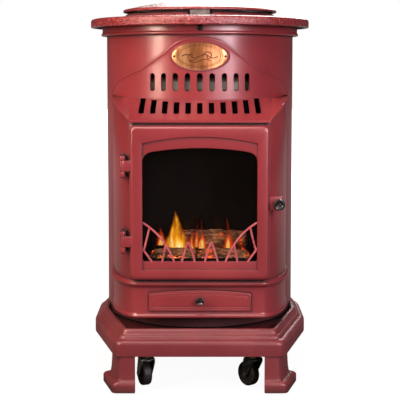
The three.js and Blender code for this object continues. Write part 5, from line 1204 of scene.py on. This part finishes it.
def embers():
    # coals heaped in the burner's pocket: flattened rippled balls on a jittered grid, from a seeded generator
    low, high = boxOf("burner_tray")
    random = np.random.default_rng(7)
    u = np.linspace(0, math.pi, 9)[:, None]
    v = np.linspace(0, 2 * math.pi, 14, endpoint=False)[None, :]
    ball = np.stack([np.sin(u) * np.cos(v), np.sin(u) * np.sin(v), np.cos(u) + 0 * v], -1)
    shapes = []
    for x in np.linspace(low[0] + 12, high[0] - 12, 15):
        for y in np.linspace(low[1] + 9, high[1] - 24, 4):
            size = random.uniform(6.0, 9.5, 3) * (1, 0.9, 0.75)
            bumps = 1 + 0.13 * np.sin(3 * v + random.uniform(0, 6)) * np.sin(u) + 0.09 * np.sin(5 * u + 4 * v)
            centre = np.array((x, y, high[2] - 2)) + random.uniform(-2.5, 2.5, 3)
            shapes.append(loft(ball * bumps[..., None] * size + centre))
    place(meshObject("emberBed", shapes), "ember", "cabinet", crease=60)


def flames():
    # each tongue is a bowed leaf: width shrinks with height, and its middle line sways
    rows, columns, swing = tongue["rows"], tongue["columns"], tongue["sway"]
    s = np.linspace(0, 1, rows)[:, None]
    c = np.linspace(-1, 1, columns)[None, :]
    for look, tongues in fire.items():
        for index, (x, foot, height, width, y) in enumerate(tongues):
            half = width / 2 * (1 - s ** 4) ** 0.6 * (0.75 + 0.25 * np.sin(np.clip(s * 1.6, 0, 1) * math.pi))
            sway = swing * np.sin(s * 4 + index * 2.1) * s
            bowed = y + tongue["bow"] * (1 - c ** 2) * (1 - s)
            points = np.stack([x + sway + half * c, bowed, foot + height * s + 0 * c], -1)
            faces = gridFaces(rows, columns, False, False)
            piece = meshObject(f"{look}{index}", [(points.reshape(-1, 3), faces)])
            where = np.empty(len(piece.data.vertices) * 3)
            piece.data.vertices.foreach_get("co", where)
            where = where.reshape(-1, 3) * 1000
            up = (where[:, 2] - foot) / height
            middle = x + swing * np.sin(up * 4 + index * 2.1) * up
            side = (where[:, 0] - middle) / np.maximum(np.interp(up, s[:, 0], half[:, 0]), 0.01)
            corners = np.empty(len(piece.data.loops), np.int32)
            piece.data.loops.foreach_get("vertex_index", corners)
            layer = piece.data.uv_layers.new(name="UVMap")
            layer.data.foreach_set("uv", np.stack([0.5 + 0.5 * side, up], -1)[corners].ravel())
            place(piece, look, "cabinet", crease=180)


logPiece("logBack", "log_back", 0)
logPiece("logLeft", "log_left", 10)
logPiece("logRight", "log_right", -14)
embers()
flames()
print("fire ready")

# base, legs and castors
plinthLow, plinthHigh = boxOf("base_plinth")
base = {"frontHalfWidth": 166, "chamferLength": 200, "round": 16, "bandHeight": 24}
rowShift = (0, -axisY, 0)  # the base is centred on the row frame, not on the drum


def plinthOutline(inset):
    # long middle on each side and cut corners, all moved in by the inset, with softened corners
    w, d = plinthHigh[0] - inset, plinthHigh[1] + axisY - inset
    run = np.array((plinthHigh[0] - base["frontHalfWidth"], base["chamferLength"]))
    length = np.linalg.norm(run)
    frontX = base["frontHalfWidth"] - inset * (length - run[0]) / run[1]
    sideY = plinthHigh[1] + axisY - run[1] - inset * (length - run[1]) / run[0]
    quarter = np.array([(w, sideY), (frontX, d)])
    corners = np.concatenate([quarter, (quarter * (-1, 1))[::-1], quarter * (-1, -1), (quarter * (1, -1))[::-1]])
    return soften(corners, max(base["round"] - 0.3 * inset, 3), 8)


def plinth():
    bottom, top = plinthLow[2], plinthHigh[2]
    band = bottom + base["bandHeight"]
    profile = soften([
        (0, bottom), (0, band), (1.8, band + 4.5), (6, band + 7.5), (10.5, band + 8.5), (12.5, band + 14),
        (17, band + 16.5), (19.5, top - 4), (22.5, top), (28, top), (30.5, top - 3), (30.5, band + 3), (6, band - 2),
        (5, bottom)], [1, 3, 3, 3, 2, 2.5, 2, 2, 2, 1, 1, 1, 2, 1])
    wall = loft([levelAt(plinthOutline(inset), z) for inset, z in profile], True)
    floorTop = boxOf("bottle_tray")[0][2] - 0.3
    slab = loft([levelAt(plinthOutline(29), z) for z in (floorTop - 3.5, floorTop)])
    well = drum["radius"] + 0.3
    piece = meshObject("basePlinth", [shift(wall, *rowShift)])
    combine(piece, [lathe([(0, floorTop), (well, floorTop), (well, top + 5), (0, top + 5)], 160, False)])
    combine(piece, [shift(slab, *rowShift)], "UNION")
    place(piece, "cast", "cabinet", "base_plinth", crease=38)


def legs():
    # an angle-section casting: one softened six-sided plan at several levels, flared at the toe
    low, high = boxOf("leg_front_right")
    frontFace = plinthHigh[1] + axisY - 1
    slope = (plinthHigh[0] - base["frontHalfWidth"]) / base["chamferLength"]

    def section(flare, z):
        corner = base["frontHalfWidth"] - 7 + flare * 1.7
        inner = base["frontHalfWidth"] - 13
        face = frontFace + flare
        outline = soften([(corner, face), (127, face), (127, frontFace - 6), (inner, frontFace - 6),
                          (inner + 68 * slope, frontFace - 68 - flare),
                          (corner + 68 * slope + flare * 0.8, frontFace - 68 - flare)], [9, 1, 1, 3, 1, 2.5], 6)
        return levelAt(outline * (1, -1), z)

    sole = low[2]
    toeTop = sole + 22
    levels = soften([(-1, high[2]), (-0.5, high[2] - 18), (0, toeTop + 12), (0.8, toeTop + 1.5), (4.6, toeTop - 1),
                     (7, toeTop - 6), (7, sole), (6, sole)], [0, 3, 6, 2, 2, 3, 1, 0], 4, False)
    shape = loft([section(max(-1, min(7, flare)), z) for flare, z in levels])
    for spot, (sideX, sideY) in places.items():
        piece = meshObject("leg" + joined(spot), [shift(scaled(shape, sideX, -sideY, 1), *rowShift)])
        place(piece, "cast", "cabinet", "leg_" + spot, crease=38)


castor = {"halfWidth": 10, "trail": 14, "cheekX": 12.85}


def castors():
    # tread, rims and hub turned round the axle; the fork is two tapering cheeks under a domed race
    for joint in frame["joints"]:
        if not joint["name"].endswith("_roll"):
            continue
        spot = joint["name"][len("castor_"):-len("_roll")]
        centre = np.array(joint["pos_m"]) * 1000 - (0, axisY, 0)
        turn = math.degrees(math.atan2(joint["axis"][1], joint["axis"][0]))
        radius, half, trail = centre[2], castor["halfWidth"], castor["trail"]
        profile = soften([
            (3.3, -half + 3), (9, -half + 3), (10, -half + 1), (radius - 7, -half + 1.5), (radius - 6, -half + 0.2),
            (radius - 2.5, -half + 0.2), (radius, -half + 3.5), (radius, half - 3.5), (radius - 2.5, half - 0.2),
            (radius - 6, half - 0.2), (radius - 7, half - 1.5), (10, half - 1), (9, half - 3), (3.3, half - 3)],
            [0.2, 0.6, 0.6, 0.6, 0.6, 2, 3, 3, 2, 0.6, 0.6, 0.6, 0.6, 0.2])
        points, faces = lathe(profile, 72)
        wheel = turnZ((points[:, [2, 1, 0]], faces), turn)
        place(meshObject("castorWheel" + joined(spot), [shift(wheel, *centre)]), "tyre",
              f"castor_{spot}_wheel", f"castor_{spot}_wheel", crease=40)
        top = boxOf(f"castor_{spot}_fork")[1][2]
        sideways = np.array((math.cos(math.radians(turn)), math.sin(math.radians(turn)), 0))
        backwards = np.array((-sideways[1], sideways[0], 0))
        swivel = centre - backwards * trail
        outline = soften([(-13, top), (13, top), (20.5, radius + 3), (21, radius - 4), (trail, radius - 8),
                          (6.5, radius - 4), (-13, top - 8)], [3, 3, 3, 4, 4, 5, 3], 5)
        shapes = []
        for side in (-1, 1):
            x = side * castor["cheekX"]
            rows = [np.stack([np.full(len(outline), x + dx), outline[:, 0], outline[:, 1]], -1)
                    for dx in (-1.2, -0.8, 0.8, 1.2)]
            shapes.append(loft(rows))
        dome = soften([(4.4, top - 6), (14.8, top - 6), (14.8, top - 1.5), (11.5, top), (4.4, top)],
                      [0, 1, 2, 2, 0], 4)
        shapes += [roundBlock((-13.5, -13, top - 3), (13.5, 13, top - 0.2), 1.2), lathe(dome, 48),
                   shift(rod("x", 3, -15.8, 15.8, (0, 0, 0), 0.8, 24), 0, trail, radius),
                   shift(rod("x", 5.2, -15.4, 15.4, (0, 0, 0), 0.8, 24), 0, trail, radius)]
        shapes = [shift(turnZ(shape, turn), swivel[0], swivel[1], 0) for shape in shapes]
        place(meshObject("castorFork" + joined(spot), shapes), "zinc", f"castor_{spot}_swivel", f"castor_{spot}_fork")


plinth()
legs()
castors()
print("base ready")


# rear door
rear = {"halfAngle": 56, "hingeAngle": 57.4, "slotWidth": 9, "slotHeight": 34, "slotPitch": 10, "barrelLift": 143,
        "bracketLift": 171}


def rearDoor():
    # curved sheet with ten slots, a rolled edge round it, hinge barrels on its right
    low, high = boxOf("rear_door")
    inner, outer = drum["radius"] + 0.3, drum["radius"] + 2.3
    limit = math.radians(rear["halfAngle"])
    angle = np.linspace(math.pi - limit, math.pi + limit, 97)
    section = soften([(inner, low[2]), (outer, low[2]), (outer, high[2]), (inner, high[2])], [0.3, 0.8, 0.8, 0.3], 3)
    r, z, a = section[None, :, 0], section[None, :, 1], angle[:, None]
    piece = meshObject("rearDoor", [loft(np.stack([r * np.sin(a), -r * np.cos(a), z + 0 * a], -1))])
    combine(piece, [
        turnZ(frontSlab(capsule(rear["slotWidth"], foot, foot + rear["slotHeight"]), outer + 8, outer - 12),
              i * rear["slotPitch"])
        for foot in (low[2] + 34, high[2] - 64) for i in range(-2, 3)])
    softEdges(piece, 0.5, 50)
    middle = (low[2] + high[2]) / 2
    hinge = math.radians(rear["hingeAngle"])
    radius = drum["radius"] + 6.3
    x, y = radius * math.sin(hinge), radius * math.cos(hinge)
    shapes = []
    for side in (-1, 1):
        z = middle + side * rear["barrelLift"]
        shapes += [rod("z", 5.4, z - 20, z + 20, (x, y, 0), 0.8),
                   turnZ(roundBlock((-12, outer - 1.5, z - 20), (2, outer + 3.2, z + 20), 0.8), -rear["hingeAngle"])]
    place(meshObject("rearDoorBarrels", shapes), "sheet", "rear_door")
    place(piece, "sheet", "rear_door", "rear_door")
    pin = boxOf("rear_hinge_rod")
    shapes = [rod("z", 3, pin[0][2], pin[1][2], (x, y, 0), 0.8, 24)]
    for side in (-1, 1):
        z = middle + side * rear["bracketLift"]
        shapes.append(turnZ(roundBlock((-2.5, drum["radius"] + 0.3, z - 6), (12, radius + 5, z + 6), 0.8),
                            -rear["hingeAngle"]))
    place(meshObject("rearHingeRod", shapes), "zinc", "cabinet", "rear_hinge_rod")
    low, high = boxOf("rear_door_pull")
    knob = soften([(0, 0), (5.5, 0), (4.6, 6), (9, 11.5), (10, 14), (10, 16), (8, 18), (0, 18.2)],
                  [0, 0.3, 3, 2, 1.5, 1.5, 1.5, 0], 5, False)
    points, faces = lathe(knob, 48, False)
    pull = turnZ((points[:, [0, 2, 1]] + (0, outer + 0.3, 0), faces), 48)
    place(meshObject("rearDoorPull", [shift(pull, 0, 0, middle)]), "plastic", "rear_door", "rear_door_pull")


rearDoor()
print("rear ready")
